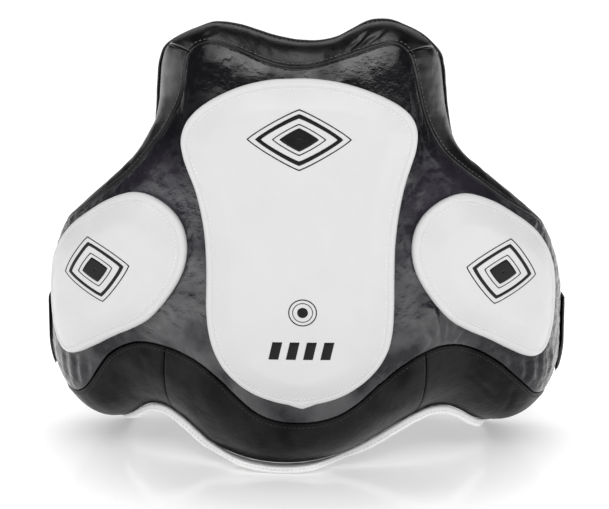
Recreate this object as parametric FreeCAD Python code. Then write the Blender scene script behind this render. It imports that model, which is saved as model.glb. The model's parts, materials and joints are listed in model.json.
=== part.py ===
import FreeCAD, Part
import math, os

# Trainer belly pad: a curved, foam-filled leather body shield with three raised
# white target pads, worn round the torso with two shoulder straps and one wide
# hook-and-loop waist band.
# Frame: X to the wearer's left and right (front view, +X on the right), -Y is the
# side that takes the kicks, +Z up. Origin on the ground under the middle of the
# whole part's box. All lengths in millimetres.

os.makedirs("parts", exist_ok=True)
V = FreeCAD.Vector

# ------------------------------------------------------------ driving dimensions
HALF_OUT = 249.0        # half width of the outer leather at the seam line
DEPTH_OUT = 156.0       # how far the front bulges before the side line
POWER_OUT = 2.35        # roundness of the outer plan curve
REAR_OUT = 48.0         # how far the wings run behind the side line
TUCK_OUT = 6.0
HALF_IN = 187.0         # half width of the torso cavity
DEPTH_IN = 84.0
POWER_IN = 2.3
REAR_IN = 54.0
TUCK_IN = 1.5
CROWN = 12.0            # how far the padded front stands proud of its seam
CROWN_RUN = 48.0
GUSSET_SWELL = 8.5      # outward swell of the side walls
LEATHER = 2.0
GAP = 0.5
FOAM_FIRM = 20.0        # thickness of the outer, firm foam sheet
FOAM_SOFT = 16.0        # thickness of the inner, soft foam sheet
PAD_RISE = 15.0         # thickness of the raised target pads
BAND_WIDTH = 75.0       # waist band, 3 inch hook-and-loop
BAND_THICK = 3.0
FOOT_AT = 0.492         # where the lower edge binding widens into a foot
FOOT_RUN = 16.0
STRAP_WIDTH = 44.0      # padded shoulder strap
TAIL_WIDTH = 38.0
RING_WIRE = 3.5
SHIFT = (0.0, 46.75, 0.04)

# Seam outlines on the unrolled surfaces: (arc length from the front middle, height).
TOP_OUT = [(-380.6, 182.0), (-356.0, 188.0), (-332.0, 198.0), (-300.0, 221.0), (-269.7, 246.1), (-245.7, 258.9),
           (-221.3, 273.4), (-196.7, 289.7), (-179.5, 302.0), (-159.1, 321.4), (-143.7, 339.9), (-132.5, 354.0),
           (-125.3, 366.5), (-116.0, 385.7), (-112.3, 402.8), (-110.2, 418.2), (-107.0, 428.0), (-100.7, 434.2),
           (-89.9, 438.0), (-76.4, 436.9), (-61.8, 432.6), (-48.9, 426.8), (-36.6, 421.4), (-21.5, 416.8),
           (-6.0, 414.8), (5.9, 415.5), (17.2, 417.8), (25.4, 420.2), (38.9, 424.6), (52.4, 428.9), (70.5, 435.0),
           (83.2, 438.2), (94.2, 435.9), (101.5, 429.0), (106.3, 416.0), (111.2, 395.8), (117.2, 371.9),
           (126.8, 349.6), (138.6, 332.6), (156.5, 316.8), (179.6, 300.1), (212.1, 277.7), (228.1, 268.6),
           (250.4, 257.0), (274.0, 243.0), (300.0, 219.0), (332.0, 195.0), (356.0, 185.0), (380.6, 180.0)]
BOT_OUT = [(-380.6, 56.0), (-356.0, 59.0), (-332.0, 62.5), (-300.0, 67.0), (-275.0, 69.0), (-252.6, 70.8),
           (-238.0, 77.5), (-227.8, 87.0), (-211.2, 107.3), (-199.7, 120.4), (-185.2, 130.5), (-164.3, 138.6),
           (-135.2, 137.3), (-105.9, 126.4), (-81.0, 107.9), (-60.1, 87.5), (-47.0, 76.5), (-33.8, 69.8),
           (-16.8, 65.8), (1.5, 65.3), (18.5, 67.1), (38.0, 73.6), (57.5, 86.5), (73.0, 101.0), (99.2, 122.2),
           (122.1, 135.0), (137.0, 139.8), (155.0, 139.6), (175.0, 132.5), (197.7, 118.7), (223.4, 98.1),
           (244.2, 81.5), (258.0, 72.0), (276.0, 67.0), (300.0, 65.0), (332.0, 62.0), (356.0, 59.0), (380.6, 56.0)]
# matching outline of the torso side: (arc length on the inner curve, height), same number of anchors
TOP_IN = [(-281.6, 196.0), (-256.0, 214.0), (-227.0, 236.0), (-203.0, 263.0), (-168.0, 300.0), (-150.0, 331.0),
          (-144.8, 366.7), (-143.5, 388.0), (-140.8, 408.0), (-134.5, 421.0), (-119.7, 430.9), (-101.3, 439.2),
          (-77.8, 444.3), (-62.0, 442.2), (-47.4, 438.0), (-32.8, 433.4), (-18.2, 430.0), (-3.6, 427.7),
          (14.8, 427.4), (33.2, 431.2), (47.7, 438.6), (61.3, 445.8), (76.2, 448.0), (95.1, 443.0), (116.4, 431.5),
          (129.5, 418.5), (135.2, 404.4), (137.5, 384.6), (139.5, 364.7), (146.5, 329.0), (168.0, 296.0),
          (203.0, 259.0), (227.0, 232.0), (256.0, 212.0), (281.6, 194.0)]
BOT_IN = [(-281.6, 0.0), (-256.0, 8.5), (-225.0, 21.0), (-200.0, 32.0), (-184.0, 40.0), (-170.3, 48.1),
          (-157.1, 53.4), (-143.3, 53.6), (-133.6, 50.0), (-119.5, 41.9), (-104.2, 30.8), (-89.4, 21.0),
          (-63.9, 11.5), (-50.2, 8.4), (-29.9, 6.0), (-9.6, 6.0), (10.6, 8.4), (30.7, 13.4), (50.9, 20.9),
          (71.2, 30.6), (91.6, 41.2), (112.5, 51.2), (128.0, 56.2), (144.0, 56.2), (161.2, 49.4), (175.5, 40.5),
          (200.0, 31.0), (225.0, 21.0), (256.0, 8.5), (281.6, 0.0)]
# anchor pairs that tie the two outlines together: (index in *_OUT, index in *_IN)
TOP_TIES = [(0, 0), (2, 2), (4, 3), (7, 4), (10, 5), (13, 6), (16, 9), (18, 11), (20, 12), (25, 17), (29, 21),
            (31, 23), (33, 25), (36, 28), (38, 29), (41, 30), (44, 31), (46, 32), (48, 34)]
BOT_TIES = [(0, 0), (2, 2), (5, 3), (8, 5), (10, 6), (12, 8), (15, 11), (19, 15), (23, 19), (25, 21), (27, 23),
            (29, 25), (32, 26), (35, 27), (37, 29)]


# ------------------------------------------------------------ small maths
def plan_curve(a, b, n, rear, tuck):
    pts = []
    for i in range(401):
        t = math.pi / 2 * i / 400
        pts.append((a * math.sin(t) ** (2 / n), -b * max(math.cos(t), 0.0) ** (2 / n)))
    for i in range(1, 61):
        y = rear * i / 60
        pts.append((a - tuck * (y / rear) ** 2, y))
    s = [0.0]
    for p, q in zip(pts, pts[1:]):
        s.append(s[-1] + math.hypot(q[0] - p[0], q[1] - p[1]))
    return s, pts


def lookup(table, s):
    ss, pts = table
    t = min(abs(s), ss[-1])
    lo, hi = 0, len(ss) - 1
    while hi - lo > 1:
        m = (lo + hi) // 2
        if ss[m] <= t:
            lo = m
        else:
            hi = m
    f = (t - ss[lo]) / (ss[hi] - ss[lo])
    x = pts[lo][0] + f * (pts[hi][0] - pts[lo][0])
    y = pts[lo][1] + f * (pts[hi][1] - pts[lo][1])
    over = abs(s) - ss[-1]
    if over > 0:
        y += over
    return (x if s >= 0 else -x), y


OUTER = plan_curve(HALF_OUT, DEPTH_OUT, POWER_OUT, REAR_OUT, TUCK_OUT)
INNER = plan_curve(HALF_IN, DEPTH_IN, POWER_IN, REAR_IN, TUCK_IN)


def smooth(t):
    t = min(max(t, 0.0), 1.0)
    return t * t * (3 - 2 * t)


def outer_point(s, z):
    x, y = lookup(OUTER, s)
    if y < 0:
        y *= 1 - 0.085 * smooth((z - 230) / 190) - 0.03 * smooth((60 - z) / 60)
    return (x, y, z)


def inner_point(s, z):
    x, y = lookup(INNER, s)
    if y < 0:
        y *= 1 + 0.18 * smooth((75 - z) / 75) - 0.10 * smooth((z - 230) / 190)
    return (x, y, z)


def sub(p, q):
    return (p[0] - q[0], p[1] - q[1], p[2] - q[2])


def add(p, q, k=1.0):
    return (p[0] + k * q[0], p[1] + k * q[1], p[2] + k * q[2])


def cross(p, q):
    return (p[1] * q[2] - p[2] * q[1], p[2] * q[0] - p[0] * q[2], p[0] * q[1] - p[1] * q[0])


def length(p):
    return math.sqrt(p[0] ** 2 + p[1] ** 2 + p[2] ** 2)


def unit(p):
    n = length(p) or 1.0
    return (p[0] / n, p[1] / n, p[2] / n)


class Track:
    """A shape-keeping cubic through (parameter, value...) rows."""

    def __init__(self, t, rows):
        self.t, self.rows = t, rows
        n, k = len(t), len(rows[0])
        self.m = []
        for j in range(k):
            d = [(rows[i + 1][j] - rows[i][j]) / (t[i + 1] - t[i]) for i in range(n - 1)]
            m = [0.0] * n
            m[0], m[-1] = d[0], d[-1]
            for i in range(1, n - 1):
                h0, h1 = t[i] - t[i - 1], t[i + 1] - t[i]
                m[i] = (d[i - 1] * h1 + d[i] * h0) / (h0 + h1)
            self.m.append(m)

    def __call__(self, u):
        t = self.t
        u = min(max(u, t[0]), t[-1])
        lo, hi = 0, len(t) - 1
        while hi - lo > 1:
            c = (lo + hi) // 2
            if t[c] <= u:
                lo = c
            else:
                hi = c
        h = t[hi] - t[lo]
        f = (u - t[lo]) / h
        out = []
        for j, m in enumerate(self.m):
            p0, p1 = self.rows[lo][j], self.rows[hi][j]
            out.append((2 * f ** 3 - 3 * f ** 2 + 1) * p0 + (f ** 3 - 2 * f ** 2 + f) * h * m[lo]
                       + (-2 * f ** 3 + 3 * f ** 2) * p1 + (f ** 3 - f ** 2) * h * m[hi])
        return out


def arc(rows):
    s = [0.0]
    for p, q in zip(rows, rows[1:]):
        s.append(s[-1] + math.hypot(q[0] - p[0], q[1] - p[1]))
    return s


def tie(out_rows, in_rows, ties):
    """Two tracks over the same 0..1 parameter, matched at the tie points."""
    so, si = arc(out_rows), arc(in_rows)
    to = [v / so[-1] for v in so]
    ti = []
    for i in range(len(in_rows)):
        for (o0, i0), (o1, i1) in zip(ties, ties[1:]):
            if i0 <= i <= i1:
                f = (si[i] - si[i0]) / (si[i1] - si[i0])
                ti.append(to[o0] + f * (to[o1] - to[o0]))
                break
    return Track(to, out_rows), Track(ti, in_rows)


T_OUT, T_IN = tie(TOP_OUT, TOP_IN, TOP_TIES)
B_OUT, B_IN = tie(BOT_OUT, BOT_IN, BOT_TIES)


def ease(v, run):
    return 1 - (1 - min(max(v / run, 0.0), 1.0)) ** 2


def sizes(a):
    p, q = T_OUT(a), B_OUT(a)
    return math.hypot(p[0] - q[0], p[1] - q[1])


WIDTH = 760.0


def slant(a, track, other):
    """Sine of the angle between a cross line of the map and the outline it ends on."""
    best = 0.0
    for k in (-2, -1, 0, 1, 2):
        x = min(max(a + 0.003 * k, 0.002), 0.998)
        p, q = track(x - 0.002), track(x + 0.002)
        m, o = track(x), other(x)
        tx, tz = q[0] - p[0], q[1] - p[1]
        bx, bz = m[0] - o[0], m[1] - o[1]
        best += abs(tx * bz - tz * bx) / (math.hypot(tx, tz) * math.hypot(bx, bz)) / 5
    return min(max(best, 0.13), 1.0)


SLANTS = {}


def edge_slant(a, top):
    key = (round(a, 4), top)
    if key not in SLANTS:
        SLANTS[key] = slant(a, T_OUT if top else B_OUT, B_OUT if top else T_OUT)
    return SLANTS[key]


def flat_out(a, b):
    p, q = B_OUT(a), T_OUT(a)
    return p[0] + b * (q[0] - p[0]), p[1] + b * (q[1] - p[1])


def base_out(a, b):
    return outer_point(*flat_out(a, b))


def base_in(a, b):
    p, q = B_IN(a), T_IN(a)
    return inner_point(p[0] + b * (q[0] - p[0]), p[1] + b * (q[1] - p[1]))


def normal_out(a, b):
    s, z = flat_out(a, b)
    u = sub(outer_point(s + 1.0, z), outer_point(s - 1.0, z))
    w = sub(outer_point(s, z + 1.0), outer_point(s, z - 1.0))
    return unit(cross(u, w))


def front(a, b):
    h = sizes(a)
    c = CROWN * ease(min(b, 1 - b) * h, CROWN_RUN) * ease(min(a, 1 - a) * WIDTH, CROWN_RUN)
    return add(base_out(a, b), normal_out(a, b), c)


def swell(a, b, c):
    """Outward swell of the walls at the four edges of the map."""
    out = (0.0, 0.0, 0.0)
    lift = 4 * c * (1 - c) * GUSSET_SWELL
    e = 0.004
    for edge, near in ((0, b), (1, 1 - b)):
        w = (1 - min(near / 0.28, 1.0)) ** 2
        if w > 0:
            a0, a1 = max(a - e, 0), min(a + e, 1)
            t = sub(base_out(a1, edge), base_out(a0, edge))
            t2 = sub(base_in(a1, edge), base_in(a0, edge))
            t = add(t, t2)
            d = sub(base_in(a, edge), base_out(a, edge))
            n = unit(cross(t, d))
            ref = sub(base_out(a, edge), base_out(a, 0.5))
            if n[0] * ref[0] + n[1] * ref[1] + n[2] * ref[2] < 0:
                n = (-n[0], -n[1], -n[2])
            k = 1.0 if edge else 1.25
            out = add(out, n, w * lift * k * ease(min(a, 1 - a) * WIDTH + 6, 40))
    for edge, near in ((0, a), (1, 1 - a)):
        w = (1 - min(near / 0.07, 1.0)) ** 2
        if w > 0:
            sign = -1.0 if edge == 0 else 1.0
            out = add(out, (0.12 * sign, 0.99, 0.0), w * lift * 0.8 * ease(min(b, 1 - b) * sizes(a) + 6, 40))
    return out


def point(a, b, c):
    a, b, c = min(max(a, 0), 1), min(max(b, 0), 1), min(max(c, 0), 1)
    p, q = front(a, b), base_in(a, b)
    r = (p[0] + c * (q[0] - p[0]), p[1] + c * (q[1] - p[1]), p[2] + c * (q[2] - p[2]))
    return add(r, swell(a, b, c))


def thick(a, b):
    return length(sub(base_in(a, b), front(a, b)))


# a coordinate is (fraction, millimetres): 0.0,+2 is 2 mm in from the low side
def at(ca, cb, cc):
    a = ca[0] + ca[1] / WIDTH
    ac = min(max(a, 0), 1)
    b = cb[0] + cb[1] / sizes(ac) / edge_slant(ac, cb[0] > 0.5)
    t = thick(min(max(a, 0), 1), min(max(b, 0), 1))
    return point(a, b, cc[0] + cc[1] / t)


def mix(c0, c1, f):
    return (c0[0] + f * (c1[0] - c0[0]), c0[1] + f * (c1[1] - c0[1]))


def spline_face(rows):
    s = Part.BSplineSurface()
    s.interpolate([[V(p[0] + SHIFT[0], p[1] + SHIFT[1], p[2] + SHIFT[2]) for p in r] for r in rows])
    return s


def close_box(lo, hi):
    """A solid between two interpolated surfaces over the same grid; the four sides are ruled."""
    f0, f1 = lo.toShape(), hi.toShape()
    faces = [f0, f1]

    def edge(sf, which):
        u0, u1, v0, v1 = sf.bounds()
        if which == "u0":
            return sf.uIso(u0)
        if which == "u1":
            return sf.uIso(u1)
        if which == "v0":
            return sf.vIso(v0)
        return sf.vIso(v1)

    for w in ("u0", "u1", "v0", "v1"):
        faces.append(Part.makeRuledSurface(edge(lo, w).toShape(), edge(hi, w).toShape()))
    sh = Part.makeShell(faces)
    try:
        sh.sewShape(0.01)
    except Exception:
        pass
    sh = Part.Shell(sh.Faces)
    so = Part.Solid(sh)
    if so.Volume < 0:
        so.reverse()
    return so


def block(ca, cb, cc, na, nb):
    """Solid over a box of the map; faces at c low and c high are interpolated."""
    surfaces = []
    for c in cc:
        rows = []
        for i in range(na + 1):
            rows.append([at(mix(ca[0], ca[1], i / na), mix(cb[0], cb[1], j / nb), c) for j in range(nb + 1)])
        surfaces.append(spline_face(rows))
    return close_box(surfaces[0], surfaces[1])


def wall(run, edge, cc, n, nc, along="a"):
    """Leather wall along one edge of the map: its inner face stands LEATHER inside the outer one."""
    def grid(e):
        rows = []
        for i in range(n + 1):
            r = mix(run[0], run[1], i / n)
            ca, cb = (r, e) if along == "a" else (e, r)
            rows.append([at(ca, cb, mix(cc[0], cc[1], k / nc)) for k in range(nc + 1)])
        return rows

    rows = grid((edge, 0))
    deep = grid((edge, 20.0 if edge == 0 else -20.0))
    outer = spline_face(rows)

    def facing(i, k):
        q = rows[i][k]
        m = outer.normal(*outer.parameter(V(q[0] + SHIFT[0], q[1] + SHIFT[1], q[2] + SHIFT[2])))
        return (m.x, m.y, m.z)

    m, d = facing(n // 2, nc // 2), sub(deep[n // 2][nc // 2], rows[n // 2][nc // 2])
    side = LEATHER if m[0] * d[0] + m[1] * d[1] + m[2] * d[2] > 0 else -LEATHER
    inner = spline_face([[add(rows[i][k], facing(i, k), side) for k in range(nc + 1)] for i in range(n + 1)])
    return close_box(outer, inner)


DONE = {}


def save(name, shape):
    shape.exportStep("parts/" + name + ".step")
    b = shape.BoundBox
    DONE[name] = shape
    print("%-24s vol %10.0f valid %s solids %d  x %.1f..%.1f y %.1f..%.1f z %.1f..%.1f" % (
        name, shape.Volume, shape.isValid(), len(shape.Solids), b.XMin, b.XMax, b.YMin, b.YMax, b.ZMin, b.ZMax))


# ------------------------------------------------------------ casing and foam
L, G = LEATHER, GAP
FULL = ((0, 0), (1, 0))
HORN_L, HORN_R = T_OUT.t[16], T_OUT.t[33]       # corner seams of the two shoulder horns
ARCH_L, ARCH_R = B_OUT.t[12], B_OUT.t[25]       # joint seams of the lower side wall
SEAM = (G / 2) / WIDTH
save("front_panel", block(FULL, FULL, ((0, 0), (0, L)), 96, 18))
CLEAR = 2.2            # room between the foam or the lining and the side walls
INSIDE = ((0, L + CLEAR), (1, -L - CLEAR))
save("rear_lining", block(INSIDE, INSIDE, ((1, -L), (1, 0)), 96, 18))
DEEP = ((0, L + 1.1), (1, 0))


def top_wall(a0, a1, n):
    return wall(((a0 + SEAM, 0), (a1 - SEAM, 0)), 1, DEEP, n, 8)


def low_wall(a0, a1, n):
    return wall(((a0 + SEAM, 0), (a1 - SEAM, 0)), 0, DEEP, n, 8)


save("top_gusset", top_wall(HORN_L, HORN_R, 40))
save("left_side_gusset", top_wall(0, HORN_L, 32))
save("right_side_gusset", top_wall(HORN_R, 1, 32))
save("left_bottom_gusset", low_wall(0, ARCH_L, 30))
save("center_bottom_gusset", low_wall(ARCH_L, ARCH_R, 36))
save("right_bottom_gusset", low_wall(ARCH_R, 1, 30))
ENDB = ((0, L + CLEAR), (1, -L - CLEAR))
END = ((0, L + 2.0), (1, 0))
save("left_end_gusset", wall(ENDB, 0, END, 12, 8, "b"))
save("right_end_gusset", wall(ENDB, 1, END, 12, 8, "b"))
FOAM = ((0, L + 2 * CLEAR), (1, -L - 2 * CLEAR))
FIRM = ((0, L + 14.0), (1, -L - 14.0))
CORE = ((0, L + 9.5), (1, -L - 9.0))
save("firm_foam_sheet", block(FOAM, FIRM, ((0, L + 1.6), (0, FOAM_FIRM)), 96, 18))
save("foam_core", block(FOAM, CORE, ((0, FOAM_FIRM + 1.2), (1, -FOAM_SOFT - 1.2)), 96, 18))
save("soft_foam_sheet", block(FOAM, FOAM, ((1, -FOAM_SOFT), (1, -L - 1.2)), 96, 18))


# ------------------------------------------------------------ edge bindings on the torso side
def edge_frame(a, top):
    b, db = (1.0, -0.02) if top else (0.0, 0.02)
    p = base_in(a, b)
    out = unit(sub(p, base_in(a, b + db)))
    e = 0.002
    t = unit(sub(base_in(min(a + e, 1), b), base_in(max(a - e, 0), b)))
    n = unit(cross(t, out))
    d = sub(base_out(a, b), p)
    if n[0] * d[0] + n[1] * d[1] + n[2] * d[2] > 0:
        n = (-n[0], -n[1], -n[2])
    out = unit(cross(n, t))
    q = sub(p, base_in(a, b + db))
    if out[0] * q[0] + out[1] * q[1] + out[2] * q[2] < 0:
        out = (-out[0], -out[1], -out[2])
    return p, out, n


def binding(a0, a1, top, u0, u1, w0, w1, n):
    surf = []
    for u_ in (u0, u1):
        rows = []
        for i in range(n + 1):
            a = a0 + (a1 - a0) * i / n
            u = u0 + (u_ - u0) * (0.15 + 0.85 * smooth(min(i, n - i) / n / 0.12))
            p, out, rear = edge_frame(a, top)
            # the middle of the lower edge is wider and lies flat: the pad stands on it
            f = 0.0 if top else smooth((0.075 - abs(a - FOOT_AT)) / 0.045)
            row = []
            for w in (w0 - FOOT_RUN * f, (w0 - FOOT_RUN * f + w1) / 2, w1):
                q = add(add(p, out, u), rear, w)
                z = max(q[2], 0.15)
                if u_ == u1:
                    z -= f * min(z - 0.15, 2.6)
                row.append((q[0], q[1], z))
            rows.append(row)
        surf.append(spline_face(rows))
    return close_box(surf[0], surf[1])


save("lower_edge_binding", binding(0.11, 0.89, False, 1.2, 6.0, -5.0, 1.6, 110))
save("upper_edge_binding", binding(0.04, 0.96, True, 1.5, 3.3, -4.0, 1.6, 140))


# ------------------------------------------------------------ raised target pads
def unflat(s, z):
    lo, hi = 0.0, 1.0
    for _ in range(40):
        a = (lo + hi) / 2
        p, q = B_OUT(a), T_OUT(a)
        b = (z - p[1]) / (q[1] - p[1])
        if p[0] + b * (q[0] - p[0]) < s:
            lo = a
        else:
            hi = a
    return a, min(max(b, 0.0), 1.0)


def surface_normal(s, z):
    u = sub(outer_point(s + 1.0, z), outer_point(s - 1.0, z))
    w = sub(outer_point(s, z + 1.0), outer_point(s, z - 1.0))
    return unit(cross(u, w))


def skin(s, z, t):
    a, b = unflat(s, z)
    h = sizes(a)
    c = CROWN * ease(min(b, 1 - b) * h, CROWN_RUN) * ease(min(a, 1 - a) * WIDTH, CROWN_RUN)
    return add(outer_point(s, z), surface_normal(s, z), c + t)


def slab(s0, s1, z0, z1, t0, t1, n=14, m=14):
    surf = []
    for t in (t0, t1):
        surf.append(spline_face([[skin(s0 + (s1 - s0) * i / n, z0 + (z1 - z0) * j / m, t) for j in range(m + 1)]
                                 for i in range(n + 1)]))
    return close_box(surf[0], surf[1])


def inset(pts, d):
    out = []
    n = len(pts)
    area = sum(pts[i][0] * pts[(i + 1) % n][1] - pts[(i + 1) % n][0] * pts[i][1] for i in range(n))
    k = 1 if area > 0 else -1
    for i in range(n):
        p, q, r = pts[i - 1], pts[i], pts[(i + 1) % n]
        tx, ty = r[0] - p[0], r[1] - p[1]
        m = math.hypot(tx, ty)
        out.append((q[0] - k * ty / m * d, q[1] + k * tx / m * d))
    return out


def prism(outline, s_mid, d):
    """Straight prism through the outline, running square to the panel at s_mid."""
    n = surface_normal(s_mid, 220.0)
    n = unit((n[0], n[1], 0.0))
    e = (-n[1], n[0], 0.0)
    flat = []
    for s, z in outline:
        p = skin(s, z, 0)
        flat.append((p[0] * e[0] + p[1] * e[1], p[2]))
    flat = inset(flat, d)
    c = skin(s_mid, 220.0, 0)
    depth = c[0] * n[0] + c[1] * n[1]
    base = depth - 160.0
    pts = [V(e[0] * u + n[0] * base + SHIFT[0], e[1] * u + n[1] * base + SHIFT[1], z + SHIFT[2]) for u, z in flat]
    bs = Part.BSplineCurve()
    bs.interpolate(pts, PeriodicFlag=True)
    f = Part.Face(Part.Wire([bs.toShape()]))
    return f.extrude(V(n[0] * 240, n[1] * 240, 0))


def pad(name, outline, s_mid):
    ss, zz = [p[0] for p in outline], [p[1] for p in outline]
    box = (min(ss) - 12, max(ss) + 12, min(zz) - 9, max(zz) + 9)
    whole, inner, core = (prism(outline, s_mid, d) for d in (0.0, 2.0, 2.0 + G))
    low = slab(*box, G, PAD_RISE - L - G)
    save(name + "_cover", slab(*box, PAD_RISE - L, PAD_RISE).common(whole).Solids[0])
    save(name + "_rim", low.common(whole.cut(inner)).Solids[0])
    save(name + "_foam", low.common(core).Solids[0])


CENTER_PAD = [(-10.2, 405.2), (5.3, 405.5), (20.6, 404.5), (35.7, 402.3), (50.6, 398.5), (65.1, 393.2), (79.3, 386.5),
              (92.8, 377.8), (102.5, 367.0), (106.6, 353.4), (105.5, 337.7), (101.1, 322.6), (96.4, 307.7),
              (92.8, 292.5), (90.0, 277.0), (88.1, 261.4), (86.8, 245.5), (86.5, 229.5), (86.4, 213.0),
              (86.5, 196.4), (86.3, 179.8), (85.2, 163.2), (82.0, 147.0), (75.6, 132.0), (66.0, 119.0),
              (54.0, 108.3), (40.6, 99.9), (25.8, 94.2), (10.4, 90.8), (-5.3, 90.2), (-20.2, 92.4), (-35.5, 97.0),
              (-49.9, 104.0), (-62.6, 113.7), (-72.9, 125.7), (-80.2, 140.2), (-84.7, 156.1), (-87.0, 172.5),
              (-87.7, 189.1), (-87.3, 205.8), (-87.1, 222.4), (-87.4, 238.7), (-88.4, 254.6), (-90.4, 270.3),
              (-93.6, 285.6), (-97.8, 300.7), (-103.5, 315.2), (-108.4, 329.9), (-110.4, 345.5), (-106.0, 361.0),
              (-96.5, 373.6), (-83.9, 383.8), (-70.0, 391.8), (-55.8, 398.0), (-40.8, 402.2), (-25.7, 404.6)]
RIGHT_PAD = [(146.3, 293.2), (157.0, 292.8), (167.7, 289.7), (178.4, 285.3), (189.0, 279.9), (199.5, 273.4),
             (210.2, 266.2), (221.7, 258.2), (233.4, 248.8), (244.1, 238.0), (253.5, 225.0), (260.5, 210.0),
             (265.0, 193.0), (266.5, 176.0), (265.5, 159.0), (262.0, 143.0), (254.5, 129.5), (244.0, 122.0),
             (232.0, 120.8), (219.5, 125.0), (207.8, 131.5), (195.9, 138.5), (185.7, 144.8), (174.6, 151.0),
             (163.8, 156.5), (153.7, 162.3), (144.2, 168.7), (136.0, 176.5), (128.7, 185.1), (122.1, 194.1),
             (116.1, 203.4), (110.8, 213.1), (106.7, 223.2), (104.1, 233.7), (103.2, 244.1), (104.2, 254.4),
             (107.1, 264.2), (112.2, 272.9), (119.0, 280.3), (127.1, 286.2), (136.3, 290.7)]
LEFT_PAD = [(-p[0] - 3.0, p[1] - 1.0) for p in reversed(RIGHT_PAD)]
pad("center_pad", CENTER_PAD, 0.0)
pad("left_pad", LEFT_PAD, -188.0)
pad("right_pad", RIGHT_PAD, 185.0)


# ------------------------------------------------------------ waist band closure
def ribbon(path, t0, t1, z0, z1):
    """Upright strip along a plan path, between two offsets to its left."""
    def side(t):
        out = []
        for i, p in enumerate(path):
            q, r = path[max(i - 1, 0)], path[min(i + 1, len(path) - 1)]
            tx, ty = r[0] - q[0], r[1] - q[1]
            m = math.hypot(tx, ty)
            out.append(V(p[0] - ty / m * t + SHIFT[0], p[1] + tx / m * t + SHIFT[1], z0 + SHIFT[2]))
        return out

    lo, hi = side(t0), side(t1)
    e = []
    for pts in (lo, hi):
        c = Part.BSplineCurve()
        c.interpolate(pts)
        e.append(c.toShape())
    w = Part.Wire([e[0], Part.makeLine(lo[-1], hi[-1]), e[1], Part.makeLine(hi[0], lo[0])])
    return Part.Face(w).extrude(V(0, 0, z1 - z0))


def along_skin(s0, s1, z, t, n):
    out = []
    for i in range(n + 1):
        p = skin(s0 + (s1 - s0) * i / n, z, t)
        out.append((p[0], p[1]))
    return out


BAND_Z0, BAND_Z1 = 80.0, 80.0 + BAND_WIDTH
HINGE_X, HINGE_Y = 251.0, 66.0
save("left_loop_patch", slab(-371.0, -322.0, 76.0, 158.0, 0.6, 1.35, 8, 8))

# hook tab: lies on the loop patch, then turns inwards behind the wing to its fold line
tab = along_skin(-318.0, -366.0, 117.0, 3.6, 6)
tab += [(-257.0, 47.0), (-255.3, 55.0)]
# the fold line of the tab stands at (-HINGE_X, HINGE_Y)
save("hook_strip", ribbon(tab[:7], -1.95, -1.25, BAND_Z0 + 2, BAND_Z1 - 2))
save("hook_tab", ribbon(tab + [(-252.9, 62.0)], -0.75, 0.95, BAND_Z0 + 0.5, BAND_Z1 - 0.5))

fixed = along_skin(318.0, 366.0, 117.0, 2.2, 6) + [(255.6, 46.0), (254.6, 54.0), (252.9, 62.0)]
save("right_band_anchor", ribbon(fixed, -2.3, 1.1, BAND_Z0 - 3.0, BAND_Z1 + 3.0))

BOW = 22.0
band = []
for i in range(13):
    f = i / 12
    band.append((HINGE_X - 2 * HINGE_X * f, HINGE_Y + BOW * 4 * f * (1 - f)))
save("waist_band", ribbon([(HINGE_X - 3.2, HINGE_Y + 0.8)] + band[1:-1] + [(-HINGE_X + 3.2, HINGE_Y + 0.8)],
                          -BAND_THICK / 2, BAND_THICK / 2, BAND_Z0, BAND_Z1))


# ------------------------------------------------------------ shoulder straps
def round_box(shape, r, direction=None):
    es = [e for e in shape.Edges if direction is None or
          abs((e.Vertexes[1].Point - e.Vertexes[0].Point).normalize().dot(direction)) > 0.99]
    try:
        return shape.makeFillet(r, es)
    except Exception:
        return shape


def frame_ring(o, t, w, h, r):
    """Rounded rectangular ring of round wire hanging below the point o; t runs along its top bar."""
    c = 2.6 * r
    T, Z = V(*t), V(0, 0, 1)
    O = V(o[0] + SHIFT[0], o[1] + SHIFT[1], o[2] + SHIFT[2])
    def P(u, z):
        return O + T * u + Z * z
    hw = w / 2
    k = c * (1 - math.sqrt(0.5))
    e = [Part.makeLine(P(-hw + c, 0), P(hw - c, 0)),
         Part.Arc(P(hw - c, 0), P(hw - k, -k), P(hw, -c)).toShape(),
         Part.makeLine(P(hw, -c), P(hw, -h + c)),
         Part.Arc(P(hw, -h + c), P(hw - k, -h + k), P(hw - c, -h)).toShape(),
         Part.makeLine(P(hw - c, -h), P(-hw + c, -h)),
         Part.Arc(P(-hw + c, -h), P(-hw + k, -h + k), P(-hw, -h + c)).toShape(),
         Part.makeLine(P(-hw, -h + c), P(-hw, -c)),
         Part.Arc(P(-hw, -c), P(-hw + k, -k), P(-hw + c, 0)).toShape()]
    w_ = Part.Wire(e)
    prof = Part.Wire([Part.makeCircle(r, P(0, 0), T)])
    s = w_.makePipeShell([prof], True, False, 1)
    return s


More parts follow.
